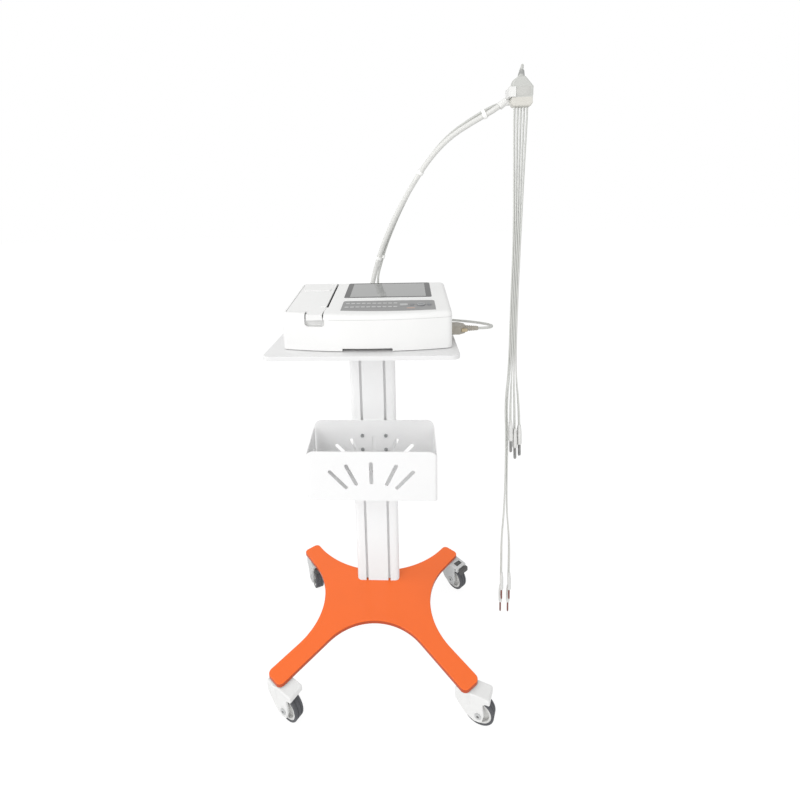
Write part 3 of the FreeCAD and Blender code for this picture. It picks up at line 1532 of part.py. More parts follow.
def make_leads():
    chest = []
    limb = []
    ends = []
    for column, row in lead_ends():
        points = lead_route(column, row)
        shape = tube_shape(f"lead {column} {row}", points, s.lead_radius)
        (chest if column >= 2 else limb).append(shape)
        ends.append((points[-1], (points[-1] - points[-2]).normalize()))
    solid("chest_leads", Part.makeCompound(chest))
    solid("limb_leads", Part.makeCompound(limb))
    boot = turned("boot", [
        (0, 0), (s.boot_tip_radius, 0), (s.boot_radius, 0.35 * s.boot_length),
        (s.boot_radius, s.boot_length - 3), (s.boot_radius - 0.8, s.boot_length), (0, s.boot_length),
    ])
    low = s.boot_length + s.pin_length
    pin = turned("pin", [
        (0, s.boot_length), (s.pin_radius, s.boot_length), (s.pin_radius, low - 3),
        (s.pin_radius - 0.9, low), (0, low),
    ])
    places = [Placement(point, Rotation(Z_AXIS, along)) for point, along in ends]
    copies("lead_boots", boot, places)
    copies("lead_pins", pin, places)


def check_document():
    """Stop when an object failed or a sub-part has no sound shape."""
    doc.recompute()
    for thing in doc.Objects:
        if "Invalid" in thing.State or "Error" in thing.State:
            raise RuntimeError(f"{thing.Label} failed")
    for subpart in SUBPARTS:
        if subpart.Shape.isNull() or not subpart.Shape.isValid() or not subpart.Shape.Solids:
            raise RuntimeError(f"{subpart.Label} has no sound shape")


ON_CORD = ("cable_lower", "cable_upper", "junction_block", "chest_leads", "limb_leads", "lead_boots",
           "lead_pins", "plug_hood", "plug_screws")


def write_parts():
    """Move the origin to the floor under the rigid object's middle and write each sub-part."""
    box = FreeCAD.BoundBox()
    for subpart in SUBPARTS:
        if subpart.Label not in ON_CORD:
            box.add(subpart.Shape.optimalBoundingBox(False))
    shift = Vector(-box.Center.x, -box.Center.y, -box.ZMin)
    print(f"shift {shift.x:.4f} {shift.y:.4f} {shift.z:.4f}")
    os.makedirs("parts", exist_ok=True)
    for subpart in SUBPARTS:
        subpart.Placement = Placement(shift, Rotation()) * subpart.Placement
        subpart.Shape.exportStep(f"parts/{subpart.Label}.step")


def main():
    """Build every sub-part, check it and write it."""
    make_base()
    make_castors()
    make_column()
    make_tray()
    make_basket()
    make_lower_case()
    make_upper_case()
    make_panel()
    make_door()
    make_paper_drive()
    make_inside()
    make_plug()
    make_boom()
    make_clips(boom_points(), make_cables())
    make_block()
    make_leads()
    check_document()
    write_parts()


main()
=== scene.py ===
"""Looks of the ECG recorder on its wheeled stand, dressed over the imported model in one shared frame."""

import logging
import math
from dataclasses import dataclass, replace
from enum import Enum
from typing import Iterable, Sequence

import bpy
from mathutils import Matrix, Vector


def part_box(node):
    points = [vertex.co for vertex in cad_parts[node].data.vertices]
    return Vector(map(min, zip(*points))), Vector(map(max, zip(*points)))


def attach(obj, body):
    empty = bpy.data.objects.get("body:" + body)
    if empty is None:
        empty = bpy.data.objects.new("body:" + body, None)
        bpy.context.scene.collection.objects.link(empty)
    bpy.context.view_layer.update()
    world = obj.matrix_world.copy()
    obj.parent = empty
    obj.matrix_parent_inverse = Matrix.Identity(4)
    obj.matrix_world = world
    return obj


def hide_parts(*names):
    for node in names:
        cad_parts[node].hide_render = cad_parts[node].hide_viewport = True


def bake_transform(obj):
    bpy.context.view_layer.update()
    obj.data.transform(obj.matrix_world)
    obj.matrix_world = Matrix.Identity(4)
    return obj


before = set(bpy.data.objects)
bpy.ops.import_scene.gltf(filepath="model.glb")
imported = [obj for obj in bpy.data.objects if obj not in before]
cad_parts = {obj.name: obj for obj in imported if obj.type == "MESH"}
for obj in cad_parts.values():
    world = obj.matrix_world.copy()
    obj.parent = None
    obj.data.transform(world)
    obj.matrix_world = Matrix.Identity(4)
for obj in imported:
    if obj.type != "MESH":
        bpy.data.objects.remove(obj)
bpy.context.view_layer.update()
LOG = logging.getLogger("ecg_recorder")
MM = 0.001
SMOOTH_ANGLE = math.radians(35)
SPLINE_ORDER = 3
SPLINE_STEPS = 10
TUBE_STEPS = 4
RING_STEPS = 40
WIRE_STEPS = 12
EDGE_STEPS = 3
Point = tuple[float, float, float]
Pair = tuple[float, float]
Socket = bpy.types.NodeSocket
Piece = bpy.types.Object


def stand_points(*route: Point) -> list[Point]:
    """Moves a route from the stand's own axis into the row frame.

    Args:
        route: Points from the boom's upright axis on the floor, in millimetres.

    Returns:
        The points in metres.
    """
    low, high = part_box("boom_socket")
    axis = (low + high) / 2
    return [(axis.x + x * MM, axis.y + y * MM, z * MM) for x, y, z in route]


def nodes_of(*names: str) -> list[Piece]:
    """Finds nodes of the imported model.

    Args:
        names: Names of the nodes.

    Returns:
        Their objects.
    """
    return [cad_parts[name] for name in names]


def screen_colour(code: str) -> tuple[float, float, float, float]:
    """Turns a screen colour into scene light.

    Args:
        code: Colour as six hexadecimal digits.

    Returns:
        The colour in linear light, with full alpha.
    """
    parts = [int(code[i:i + 2], 16) / 255 for i in (0, 2, 4)]
    light = [v / 12.92 if v <= 0.04045 else ((v + 0.055) / 1.055) ** 2.4 for v in parts]
    return light[0], light[1], light[2], 1.0


class Shader:
    """Node tree of one material, with short ways to add and join its nodes."""

    def __init__(self, name: str) -> None:
        """Starts a material with one principled surface.

        Args:
            name: Name of the material.
        """
        self.material = bpy.data.materials.new(name)
        self.material.use_nodes = True
        self.tree = self.material.node_tree
        self.surface = self.tree.nodes["Principled BSDF"]
        self.coords = self.add("ShaderNodeTexCoord")
        self.place = self.coords.outputs["Object"]

    def add(self, kind: str, **settings: object) -> bpy.types.Node:
        """Adds a node.

        Args:
            kind: Node type.
            settings: Values of its own properties.

        Returns:
            The new node.
        """
        node = self.tree.nodes.new(kind)
        for key, value in settings.items():
            setattr(node, key, value)
        return node

    def join(self, source: Socket, target: Socket) -> None:
        """Links an output to an input.

        Args:
            source: Output that gives the value.
            target: Input that takes it.
        """
        self.tree.links.new(source, target)

    def moved(self, turn: Point = (0, 0, 0), shift: Point = (0, 0, 0), start: Socket | None = None) -> Socket:
        """Places a pattern on a piece.

        Args:
            turn: Rotation of the pattern in radians.
            shift: Offset of the pattern in metres.
            start: Coordinates to move, the object's own by default.

        Returns:
            The moved coordinates.
        """
        node = self.add("ShaderNodeMapping")
        node.inputs["Location"].default_value = shift
        node.inputs["Rotation"].default_value = turn
        self.join(start or self.place, node.inputs["Vector"])
        return node.outputs["Vector"]

    def noise(self, size: float, detail: float) -> Socket:
        """Adds cloudy variation.

        Args:
            size: Size of a cloud in metres.
            detail: Levels of finer variation.

        Returns:
            The variation, from 0 to 1.
        """
        node = self.add("ShaderNodeTexNoise")
        node.inputs["Scale"].default_value = 1 / size
        node.inputs["Detail"].default_value = detail
        self.join(self.place, node.inputs["Vector"])
        return node.outputs["Fac"]

    def spread(self, value: Socket, low: float, high: float, start: float = 0.3, stop: float = 0.7) -> Socket:
        """Maps a variation to a range of values.

        Args:
            value: Variation to map.
            low: Result at the start.
            high: Result at the stop.
            start: Variation that gives the low result.
            stop: Variation that gives the high result.

        Returns:
            The mapped value.
        """
        node = self.add("ShaderNodeMapRange")
        for key, number in (("From Min", start), ("From Max", stop), ("To Min", low), ("To Max", high)):
            node.inputs[key].default_value = number
        self.join(value, node.inputs["Value"])
        return node.outputs["Result"]

    def sum(self, kind: str, first: Socket | float, second: Socket | float = 0.0) -> Socket:
        """Adds a sum.

        Args:
            kind: Operation of the sum.
            first: First term.
            second: Second term.

        Returns:
            The result.
        """
        node = self.add("ShaderNodeMath", operation=kind)
        for socket, term in zip(node.inputs, (first, second)):
            if isinstance(term, (int, float)):
                socket.default_value = term
            else:
                self.join(term, socket)
        return node.outputs["Value"]

    def mix(self, share: Socket, first: object, second: object) -> Socket:
        """Mixes two colours.

        Args:
            share: Share of the second colour.
            first: First colour or an output that gives it.
            second: Second colour or an output that gives it.

        Returns:
            The mixed colour.
        """
        node = self.add("ShaderNodeMix", data_type="RGBA")
        self.join(share, node.inputs["Factor"])
        for socket, colour in ((node.inputs[6], first), (node.inputs[7], second)):
            if isinstance(colour, tuple):
                socket.default_value = colour
            else:
                self.join(colour, socket)
        return node.outputs[2]

    def axis(self, place: Socket, which: str) -> Socket:
        """Takes one coordinate.

        Args:
            place: Coordinates.
            which: X, Y or Z.

        Returns:
            The coordinate.
        """
        node = self.add("ShaderNodeSeparateXYZ")
        self.join(place, node.inputs["Vector"])
        return node.outputs[which]


@dataclass(frozen=True)
class Finish:
    """One surface: its colour, gloss and the fine relief of its making.

    Attributes:
        name: Name of the material.
        colour: Screen colour.
        drift: Share by which the colour drifts over the surface.
        patch: Size of a patch of drifting colour, in metres.
        rough: Roughness from its smoothest to its dullest patches.
        metal: Metallic share.
        coat: Clear coat.
        shine: Level of the plain reflection.
        grain: Size of the relief's grain, in metres.
        relief: Depth of the relief, in metres.
        detail: Levels of finer variation in the colour, the gloss and the relief.
        coat_rough: Roughness of the clear coat.
        depth: Share of the relief that shows.
    """

    name: str
    colour: str
    drift: float = 0.04
    patch: float = 0.06
    rough: Pair = (0.42, 0.52)
    metal: float = 0.0
    coat: float = 0.0
    shine: float = 0.5
    grain: float = 0.0006
    relief: float = 0.00002
    detail: Point = (4.0, 5.0, 3.0)
    coat_rough: float = 0.12
    depth: float = 0.6

    def tint(self, shader: Shader) -> Socket:
        """Gives the colour over the surface.

        Args:
            shader: Shader that takes it.

        Returns:
            The colour.
        """
        light = screen_colour(self.colour)
        dark = tuple(c * (1 - 2 * self.drift) for c in light[:3]) + (1.0,)
        return shader.mix(shader.spread(shader.noise(self.patch, self.detail[0]), 0, 1), dark, light)

    def height(self, shader: Shader) -> Socket:
        """Gives the fine relief over the surface.

        Args:
            shader: Shader that takes it.

        Returns:
            The height, from 0 to 1.
        """
        return shader.noise(self.grain, self.detail[2])

    def material(self) -> bpy.types.Material:
        """Builds the material, once.

        Returns:
            The finished material.
        """
        key = "finish_" + self.name
        if key in bpy.data.materials:
            return bpy.data.materials[key]
        shader = Shader(key)
        surface = shader.surface
        shader.join(self.tint(shader), surface.inputs["Base Color"])
        gloss = shader.spread(shader.noise(self.patch / 2, self.detail[1]), *self.rough)
        shader.join(gloss, surface.inputs["Roughness"])
        surface.inputs["Metallic"].default_value = self.metal
        surface.inputs["Specular IOR Level"].default_value = self.shine
        surface.inputs["Coat Weight"].default_value = self.coat
        surface.inputs["Coat Roughness"].default_value = self.coat_rough
        bump = shader.add("ShaderNodeBump")
        bump.inputs["Strength"].default_value = self.depth
        bump.inputs["Distance"].default_value = self.relief
        shader.join(self.height(shader), bump.inputs["Height"])
        shader.join(bump.outputs["Normal"], surface.inputs["Normal"])
        return shader.material

    def on(self, pieces: Iterable[Piece]) -> None:
        """Dresses pieces in this finish.

        Args:
            pieces: Objects to dress.
        """
        for piece in pieces:
            if not piece.material_slots:
                piece.data.materials.append(None)
            for place in piece.material_slots:
                place.material = self.material()
            LOG.info("%s is finished in %s", piece.name, self.name)

    def over(self, *names: str) -> None:
        """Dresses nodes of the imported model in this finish.

        Args:
            names: Names of the nodes.
        """
        self.on(nodes_of(*names))


@dataclass(frozen=True)
class ShadedSidePaintFinish(Finish):
    """Strong paint, darker on its steep side faces as painted shade, that throws no colour on its pale
    neighbours.

    Attributes:
        edge: Screen colour painted on the steep side faces as shade.
        thrown: Screen colour of the light that it throws.
        slope: Upward share of the normal at which the edge starts to fade and the flat is reached.
    """

    edge: str = "B9481A"
    thrown: str = "D6D6D6"
    # slope: Upward share of the normal at which the painted side shade starts to fade and the flat is reached.
    slope: Pair = (0.35, 0.8)

    def tint(self, shader: Shader) -> Socket:
        """Gives the paint's colour, darker on the steep side faces as painted shade, and a plain grey to light
        that bounces off it.
        """
        # Painted shade: faces that stand steep take the darker edge colour, for the shade that the plate's sides
        # fall in.
        level = shader.axis(shader.add("ShaderNodeNewGeometry").outputs["True Normal"], "Z")
        flat = shader.spread(shader.sum("ABSOLUTE", level), 0, 1, *self.slope)
        paint = shader.mix(flat, screen_colour(self.edge), super().tint(shader))
        bounce = shader.add("ShaderNodeLightPath").outputs["Is Diffuse Ray"]
        return shader.mix(bounce, paint, screen_colour(self.thrown))


@dataclass(frozen=True)
class RingedFinish(Finish):
    """Flexible sleeve with fine rings square to its length.

    Attributes:
        rings: Number of rings along the piece's own map.
    """

    rings: int = 190

    def height(self, shader: Shader) -> Socket:
        """Gives the rings of the sleeve."""
        along = shader.axis(shader.coords.outputs["UV"], "X")
        wave = shader.sum("SINE", shader.sum("MULTIPLY", along, 2 * math.pi * self.rings))
        return shader.sum("MULTIPLY_ADD", wave, 0.5)


@dataclass(frozen=True)
class BandFinish(Finish):
    """Moulding whose foot has another colour.

    Attributes:
        foot: Screen colour of the foot.
        level: Height at which the foot ends, in metres.
    """

    foot: str = "FFFFFF"
    level: float = 0.0

    def tint(self, shader: Shader) -> Socket:
        """Gives the body's colour above the level and the foot's below it."""
        body = super().tint(shader)
        high = shader.sum("GREATER_THAN", shader.axis(shader.place, "Z"), self.level)
        return shader.mix(high, screen_colour(self.foot), body)


@dataclass(frozen=True)
class AxleSocketShadeFinish(Finish):
    """Pale axle with a dark disc in the middle of its heads, painted shade of their sockets.

    Attributes:
        middle: Centre of the axle, in metres.
        turn: Turn of the axle about the upright, in degrees.
        socket: Screen colour of the painted shade in the socket.
        reach: Radius of the painted socket shade, in metres.
    """

    middle: Point = (0, 0, 0)
    turn: float = 0.0
    socket: str = "5A5A5A"
    reach: float = 0.0028

    def tint(self, shader: Shader) -> Socket:
        """Gives the axle's colour, with painted shade in the sockets."""
        away = shader.moved(shift=tuple(-c for c in self.middle))
        own = shader.moved(turn=(0, 0, -math.radians(self.turn)), start=away)
        # Painted shade: a dark disc round the axle's line stands for the shadow inside the socket.
        squares = [shader.sum("POWER", shader.sum("ABSOLUTE", shader.axis(own, which)), 2) for which in "XZ"]
        inside = shader.sum("LESS_THAN", shader.sum("ADD", *squares), self.reach ** 2)
        return shader.mix(inside, super().tint(shader), screen_colour(self.socket))


@dataclass(frozen=True)
class Panel:
    """Sloping top of the recorder, on which the screen and the keys lie.

    Attributes:
        corner: Middle of the panel's front edge from the stand's axis, in millimetres.
        slope: Rise of the panel to the back, in degrees.
    """

    corner: Point = (10, -257, 887)
    slope: float = 6.56

    def flat(self, shader: Shader) -> Socket:
        """Gives coordinates along the panel.

        Args:
            shader: Shader that needs them.

        Returns:
            Metres to the right, to the back and above the panel.
        """
        away = shader.moved(shift=tuple(-c for c in stand_points(self.corner)[0]))
        return shader.moved(turn=(-math.radians(self.slope), 0, 0), start=away)

    def spot(self, right: float, back: float, above: float = 0.0) -> Vector:
        """Finds a point on the panel.

        Args:
            right: Millimetres to the right of the corner.
            back: Millimetres to the back along the slope.
            above: Millimetres above the surface.

        Returns:
            The point in the row frame, in metres.
        """
        lean = Matrix.Rotation(math.radians(self.slope), 3, "X")
        return Vector(stand_points(self.corner)[0]) + lean @ Vector((right, back, above)) * MM

    def patch(self, shader: Shader, middle: Pair, size: Pair) -> Socket:
        """Marks a rectangle on the panel.

        Args:
            shader: Shader that needs it.
            middle: Centre of the rectangle in millimetres.
            size: Width and depth of the rectangle in millimetres.

        Returns:
            One inside the rectangle and zero outside it.
        """
        flat = self.flat(shader)
        inside = None
        for which, centre, extent in zip("XY", middle, size):
            off = shader.sum("SUBTRACT", shader.axis(flat, which), centre * MM)
            near = shader.sum("LESS_THAN", shader.sum("ABSOLUTE", off), extent * MM / 2)
            inside = near if inside is None else shader.sum("MULTIPLY", inside, near)
        return inside


PANEL = Panel()


@dataclass(frozen=True)
class ScreenFinish(Finish):
    """Glass with a printed border round a clear window.

    Attributes:
        window: Screen colour of the display seen in the window.
        middle: Centre of the window on the panel, in millimetres.
        size: Width and depth of the window, in millimetres.
    """

    window: str = "959695"
    middle: Pair = (38, 142)
    size: Pair = (156, 92)

    def tint(self, shader: Shader) -> Socket:
        """Gives the border's colour, with the display's colour in the window."""
        border = super().tint(shader)
        return shader.mix(PANEL.patch(shader, self.middle, self.size), border, screen_colour(self.window))


@dataclass(frozen=True)
class KeypadFinish(Finish):
    """Soft key panel with paler domes and one coloured mark.

    Attributes:
        dome: Screen colour of the raised domes.
        mark: Screen colour of the mark.
        middle: Centre of the mark on the panel, in millimetres.
        size: Width and depth of the mark, in millimetres.
        rise: Heights over the panel where a dome starts and where it is pale, in metres.
    """

    dome: str = "BEBEBE"
    mark: str = "DDA98C"
    middle: Pair = (84, 25)
    size: Pair = (15, 2.2)
    rise: Pair = (0.0001, 0.0005)

    def tint(self, shader: Shader) -> Socket:
        """Gives the panel's colour, paler on the domes and coloured in the mark."""
        raised = shader.spread(shader.axis(PANEL.flat(shader), "Z"), 0, 1, *self.rise)
        domes = shader.mix(raised, super().tint(shader), screen_colour(self.dome))
        return shader.mix(PANEL.patch(shader, self.middle, self.size), domes, screen_colour(self.mark))


@dataclass(frozen=True)
class GridFinish(Finish):
    """Recording paper with fine rules.

    Attributes:
        rule: Screen colour of the rules.
        pitch: Half the distance between rules, in metres.
        line: Half the thickness of a rule, as a share of the pitch.
    """

    rule: str = "F0B8A8"
    pitch: float = 0.005
    line: float = 0.06

    def tint(self, shader: Shader) -> Socket:
        """Gives the paper's colour with its rules across."""
        paper = super().tint(shader)
        step = shader.sum("PINGPONG", shader.axis(shader.place, "X"), self.pitch)
        return shader.mix(shader.sum("LESS_THAN", step, self.pitch * self.line), paper, screen_colour(self.rule))


@dataclass(frozen=True)
class BoardFinish(Finish):
    """Circuit board with copper tracks under its green mask.

    Attributes:
        copper: Screen colour of the mask over broad copper.
        track: Screen colour of the mask over the tracks.
        scale: Units of the pattern in a metre.
        width: Width of a track in these units.
    """

    copper: str = "1E5A34"
    track: str = "3F8A55"
    scale: float = 180
    width: float = 0.12

    def tint(self, shader: Shader) -> Socket:
        """Gives the mask's colour, lighter over the tracks."""
        cells = shader.add("ShaderNodeTexBrick")
        cells.inputs["Scale"].default_value = self.scale
        cells.inputs["Mortar Size"].default_value = self.width
        cells.inputs["Color1"].default_value = screen_colour(self.colour)
        cells.inputs["Color2"].default_value = screen_colour(self.copper)
        cells.inputs["Mortar"].default_value = screen_colour(self.track)
        shader.join(shader.place, cells.inputs["Vector"])
        return cells.outputs["Color"]


CASE_WHITE = Finish("case_white", "E9E9E8", 0.012, 0.08, (0.40, 0.48), grain=0.0007)
# Grey of the bead that paints the shade in the parting line of the case halves.
SEAM_SHADE_GREY = Finish("seam_shade_grey", "BDBDBC", 0.02, 0.04, (0.5, 0.6), grain=0.0007, relief=0.00001)
# Orange of the base plate; its class paints shade on the plate's steep side faces.
BASE_ORANGE = ShadedSidePaintFinish("base_orange", "F9702C", 0.012, 0.10, (0.30, 0.36), coat=0.1, shine=0.28, grain=0.0016)
COLUMN_WHITE = Finish("column_white", "F2F2F2", 0.012, 0.12, (0.36, 0.44), grain=0.0011)
SHEET_WHITE = Finish("sheet_white", "EEEEEE", 0.012, 0.10, (0.42, 0.52), grain=0.0009, relief=0.00003)
TRAY_WHITE = Finish("tray_white", "E1E1E1", 0.012, 0.10, (0.42, 0.52), grain=0.0009, relief=0.00003)
ZINC = Finish("zinc", "B9BBBC", 0.10, 0.004, (0.26, 0.42), metal=1.0, grain=0.0005, relief=0.00001)
CASTOR_WHITE = Finish("castor_white", "E6E6E5", 0.02, 0.03, (0.38, 0.50))
CASTOR_GREY = Finish("castor_grey", "C9CACA", 0.03, 0.03, (0.36, 0.48))
AXLE_GREY = AxleSocketShadeFinish("axle_grey", "C4C5C5", 0.05, 0.004, (0.34, 0.48), metal=0.2, grain=0.0005, relief=0.00001)
HUB_GREY = Finish("hub_grey", "DCDCDA", 0.03, 0.02, (0.38, 0.50))
TYRE_GREY = Finish("tyre_grey", "55565A", 0.12, 0.02, (0.55, 0.75), grain=0.0008, relief=0.00005)
PEDAL_GREY = Finish("pedal_grey", "4C4C4C", 0.06, 0.01, (0.45, 0.60), grain=0.0008, relief=0.00004)
KEYPAD_GREY = KeypadFinish("keypad_grey", "8F8F8F", 0.03, 0.04, (0.44, 0.54), grain=0.0004, relief=0.00001)
KEY_GREY = Finish("key_grey", "808284", 0.03, 0.01, (0.38, 0.48), grain=0.0004, relief=0.00001)
KEY_PALE = Finish("key_pale", "B4B5B5", 0.03, 0.01, (0.38, 0.48), grain=0.0004, relief=0.00001)
SCREEN_GREY = ScreenFinish("screen_grey", "2C2C2C", 0.03, 0.05, (0.07, 0.11), relief=0.000002)
DISPLAY_GREY = Finish("display_grey", "8E9290", 0.02, 0.05, (0.25, 0.32))
RUBBER_BLACK = Finish("rubber_black", "2A2A2B", 0.10, 0.01, (0.60, 0.75), grain=0.0008, relief=0.00004)
HEAD_BLACK = Finish("head_black", "3A3B3D", 0.08, 0.01, (0.30, 0.42), metal=0.6)
PAPER = GridFinish("paper", "F4F1EA", 0.02, 0.02, (0.65, 0.75), grain=0.0005)
BOARD_GREEN = BoardFinish("board_green", "17482A", 0.05, 0.01, (0.32, 0.42))
BATTERY_BLUE = Finish("battery_blue", "26324F", 0.06, 0.03, (0.25, 0.36), grain=0.004, relief=0.00006)
SOCKET_BLACK = Finish("socket_black", "2B2B2C", 0.06, 0.01, (0.42, 0.55), relief=0.00003)
PLUG_GREY = Finish("plug_grey", "A29D93", 0.05, 0.01, (0.42, 0.55), grain=0.0007, relief=0.00003)
THUMB_BEIGE = Finish("thumb_beige", "B8A98A", 0.05, 0.01, (0.42, 0.55), grain=0.0007, relief=0.00003)
BLOCK_GREY = BandFinish("block_grey", "C1C2BE", 0.02, 0.02, (0.40, 0.50), foot="CECCC5", level=1.2765)
RELIEF_GREY = Finish("relief_grey", "A3A4A2", 0.04, 0.01, (0.44, 0.56), grain=0.0007, relief=0.00001)
PLATE_GREY = Finish("plate_grey", "C0C0BC", 0.02, 0.01, (0.34, 0.42), grain=0.0005, relief=0.00001)
CLIP_WHITE = Finish("clip_white", "F3F3F1", 0.02, 0.02, (0.36, 0.46), relief=0.00001)
HOLDER_WHITE = Finish("holder_white", "E3E3E1", 0.02, 0.02, (0.36, 0.46))
CABLE_GREY = Finish("cable_grey", "C2C3BF", 0.03, 0.03, (0.42, 0.56), grain=0.0016, relief=0.000008)
LEAD_GREY = Finish("lead_grey", "CFD0CC", 0.03, 0.04, (0.42, 0.56), grain=0.0016, relief=0.000006)
BOOT_GREY = Finish("boot_grey", "DADAD8", 0.04, 0.01, (0.44, 0.56))
PIN_GREY = BandFinish("pin_grey", "8B8B8A", 0.08, 0.01, (0.34, 0.45), foot="7A4A42", level=0.3)
SLEEVE_WHITE = RingedFinish("sleeve_white", "D9D9D6", 0.02, 0.03, (0.44, 0.54))


def spline_curve(name: str, route: Sequence[Point], radius: float) -> Piece:
    """Draws a round line on one smooth spline.

    Args:
        name: Name of the piece.
        route: Control points in the row frame, in metres.
        radius: Radius of the line in metres, or zero for a bare line.

    Returns:
        The curve object.
    """
    data = bpy.data.curves.new(name, "CURVE")
    data.dimensions = "3D"
    spline = data.splines.new("NURBS")
    spline.points.add(len(route) - 1)
    for knot, place in zip(spline.points, route):
        knot.co = (*place, 1.0)
    spline.order_u = SPLINE_ORDER
    spline.use_endpoint_u = True
    spline.resolution_u = SPLINE_STEPS
    data.bevel_depth = radius
    data.bevel_resolution = TUBE_STEPS
    data.use_fill_caps = radius > 0
    piece = bpy.data.objects.new(name, data)
    bpy.context.scene.collection.objects.link(piece)
    return piece


def line_points(name: str, route: Sequence[Point]) -> list[Vector]:
    """Reads the points of a spline.

    Args:
        name: Name for the bare line.
        route: Control points in the row frame, in metres.

    Returns:
        Points along the spline.
    """
    bare = spline_curve(name, route, 0.0)
    bpy.context.view_layer.update()
    mesh = bpy.data.meshes.new_from_object(bare)
    points = [vertex.co.copy() for vertex in mesh.vertices]
    bpy.data.objects.remove(bare)
    bpy.data.meshes.remove(mesh)
    return points


def spline_tube(name: str, route: Sequence[Point], radius: float) -> Piece:
    """Makes a mesh tube along one smooth spline.

    Args:
        name: Name of the piece.
        route: Control points in the row frame, in metres.
        radius: Radius of the tube in metres.

    Returns:
        The mesh object.
    """
    curve = spline_curve(name + "_line", route, radius)
    bpy.context.view_layer.update()
    mesh = bpy.data.meshes.new_from_object(curve)
    mesh.name = name
    bpy.data.objects.remove(curve)
    piece = bpy.data.objects.new(name, mesh)
    bpy.context.scene.collection.objects.link(piece)
    for face in mesh.polygons:
        face.use_smooth = len(face.vertices) == 4
    return piece


def run_length(points: Sequence[Vector]) -> float:
    """Adds up the length of a line.

    Args:
        points: Points along the line.

    Returns:
        The length in metres.
    """
    return sum((b - a).length for a, b in zip(points, points[1:]))


def settled(name: str, pieces: Sequence[Piece]) -> Piece:
    """Joins finished shapes into one piece at the origin, unturned and unscaled.

    Args:
        name: Name of the piece.
        pieces: Mesh objects to join.

    Returns:
        The joined piece.
    """
    bpy.ops.object.select_all(action="DESELECT")
    for piece in pieces:
        piece.select_set(True)
    bpy.context.view_layer.objects.active = pieces[0]
    if len(pieces) > 1:
        bpy.ops.object.join()
    bpy.ops.object.transform_apply(location=True, rotation=True, scale=True)
    bpy.ops.object.shade_smooth_by_angle(angle=SMOOTH_ANGLE)
    whole = bpy.context.active_object
    whole.name = name
    whole.data.name = name
    return whole


def ring(place: Vector, turn: Sequence[float], radius: float, wire: float) -> Piece:
    """Makes a round ring.

    Args:
        place: Centre of the ring in metres.
        turn: Rotation of the ring in radians.
        radius: Radius to the middle of the wire, in metres.
        wire: Radius of the wire, in metres.

    Returns:
        The ring.
    """
    bpy.ops.object.select_all(action="DESELECT")
    bpy.ops.mesh.primitive_torus_add(location=place, rotation=turn, major_radius=radius, minor_radius=wire,
                                     major_segments=RING_STEPS, minor_segments=WIRE_STEPS)
    return bpy.context.active_object


def slab(place: Vector, size: Point, edge: float) -> Piece:
    """Makes a flat slab with rounded edges.

    Args:
        place: Centre of the slab in metres.
        size: Its three sides, in metres.
        edge: Radius of its edges, in metres.

    Returns:
        The slab.
    """
    bpy.ops.object.select_all(action="DESELECT")
    bpy.ops.mesh.primitive_cube_add(size=1, location=place)
    piece = bpy.context.active_object
    piece.scale = size
    bpy.ops.object.transform_apply(location=False, rotation=False, scale=True)
    bevel = piece.modifiers.new("edges", "BEVEL")
    bevel.width = edge
    bevel.segments = EDGE_STEPS
    bpy.ops.object.modifier_apply(modifier=bevel.name)
    return piece


def add_piece(piece: Piece, finish: Finish, body: str) -> None:
    """Adds a dressed piece to a body.

    Args:
        piece: Finished piece.
        finish: Its surface.
        body: Body that carries it.
    """
    finish.on([piece])
    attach(piece, body)


class Corner(Enum):
    """Place of a castor under the base."""

    FRONT_LEFT = "front_left"
    FRONT_RIGHT = "front_right"
    REAR_LEFT = "rear_left"
    REAR_RIGHT = "rear_right"


CASTOR_TURN = {Corner.FRONT_LEFT: -33, Corner.FRONT_RIGHT: -22, Corner.REAR_LEFT: -65, Corner.REAR_RIGHT: -48}


def any_ray(tree: bpy.types.NodeTree, *kinds: str) -> Socket:
    """Tells some kinds of light ray from the others.

    Args:
        tree: Node tree that needs to know.
        kinds: Names of the light path's outputs.

    Returns:
        One for these kinds, zero for the others.
    """
    path = tree.nodes.new("ShaderNodeLightPath")
    found = path.outputs[kinds[0]]
    for kind in kinds[1:]:
        either = tree.nodes.new("ShaderNodeMath")
        either.operation = "MAXIMUM"
        tree.links.new(found, either.inputs[0])
        tree.links.new(path.outputs[kind], either.inputs[1])
        found = either.outputs["Value"]
    return found


@dataclass(frozen=True)
class Lamp:
    """Soft square lamp.

    Attributes:
        name: Name of the lamp.
        place: Where it hangs, in metres.
        aim: Point that it faces.
        size: Side of the square, in metres.
        power: Power in watts.
    """

    name: str
    place: Point
    aim: Point
    size: float
    power: float

    def build(self) -> None:
        """Hangs the lamp."""
        data = bpy.data.lights.new(self.name, "AREA")
        data.size = self.size
        data.energy = self.power
        lamp = bpy.data.objects.new(self.name, data)
        bpy.context.scene.collection.objects.link(lamp)
        lamp.location = self.place
        lamp.rotation_euler = (Vector(self.aim) - Vector(self.place)).to_track_quat("-Z", "Y").to_euler()


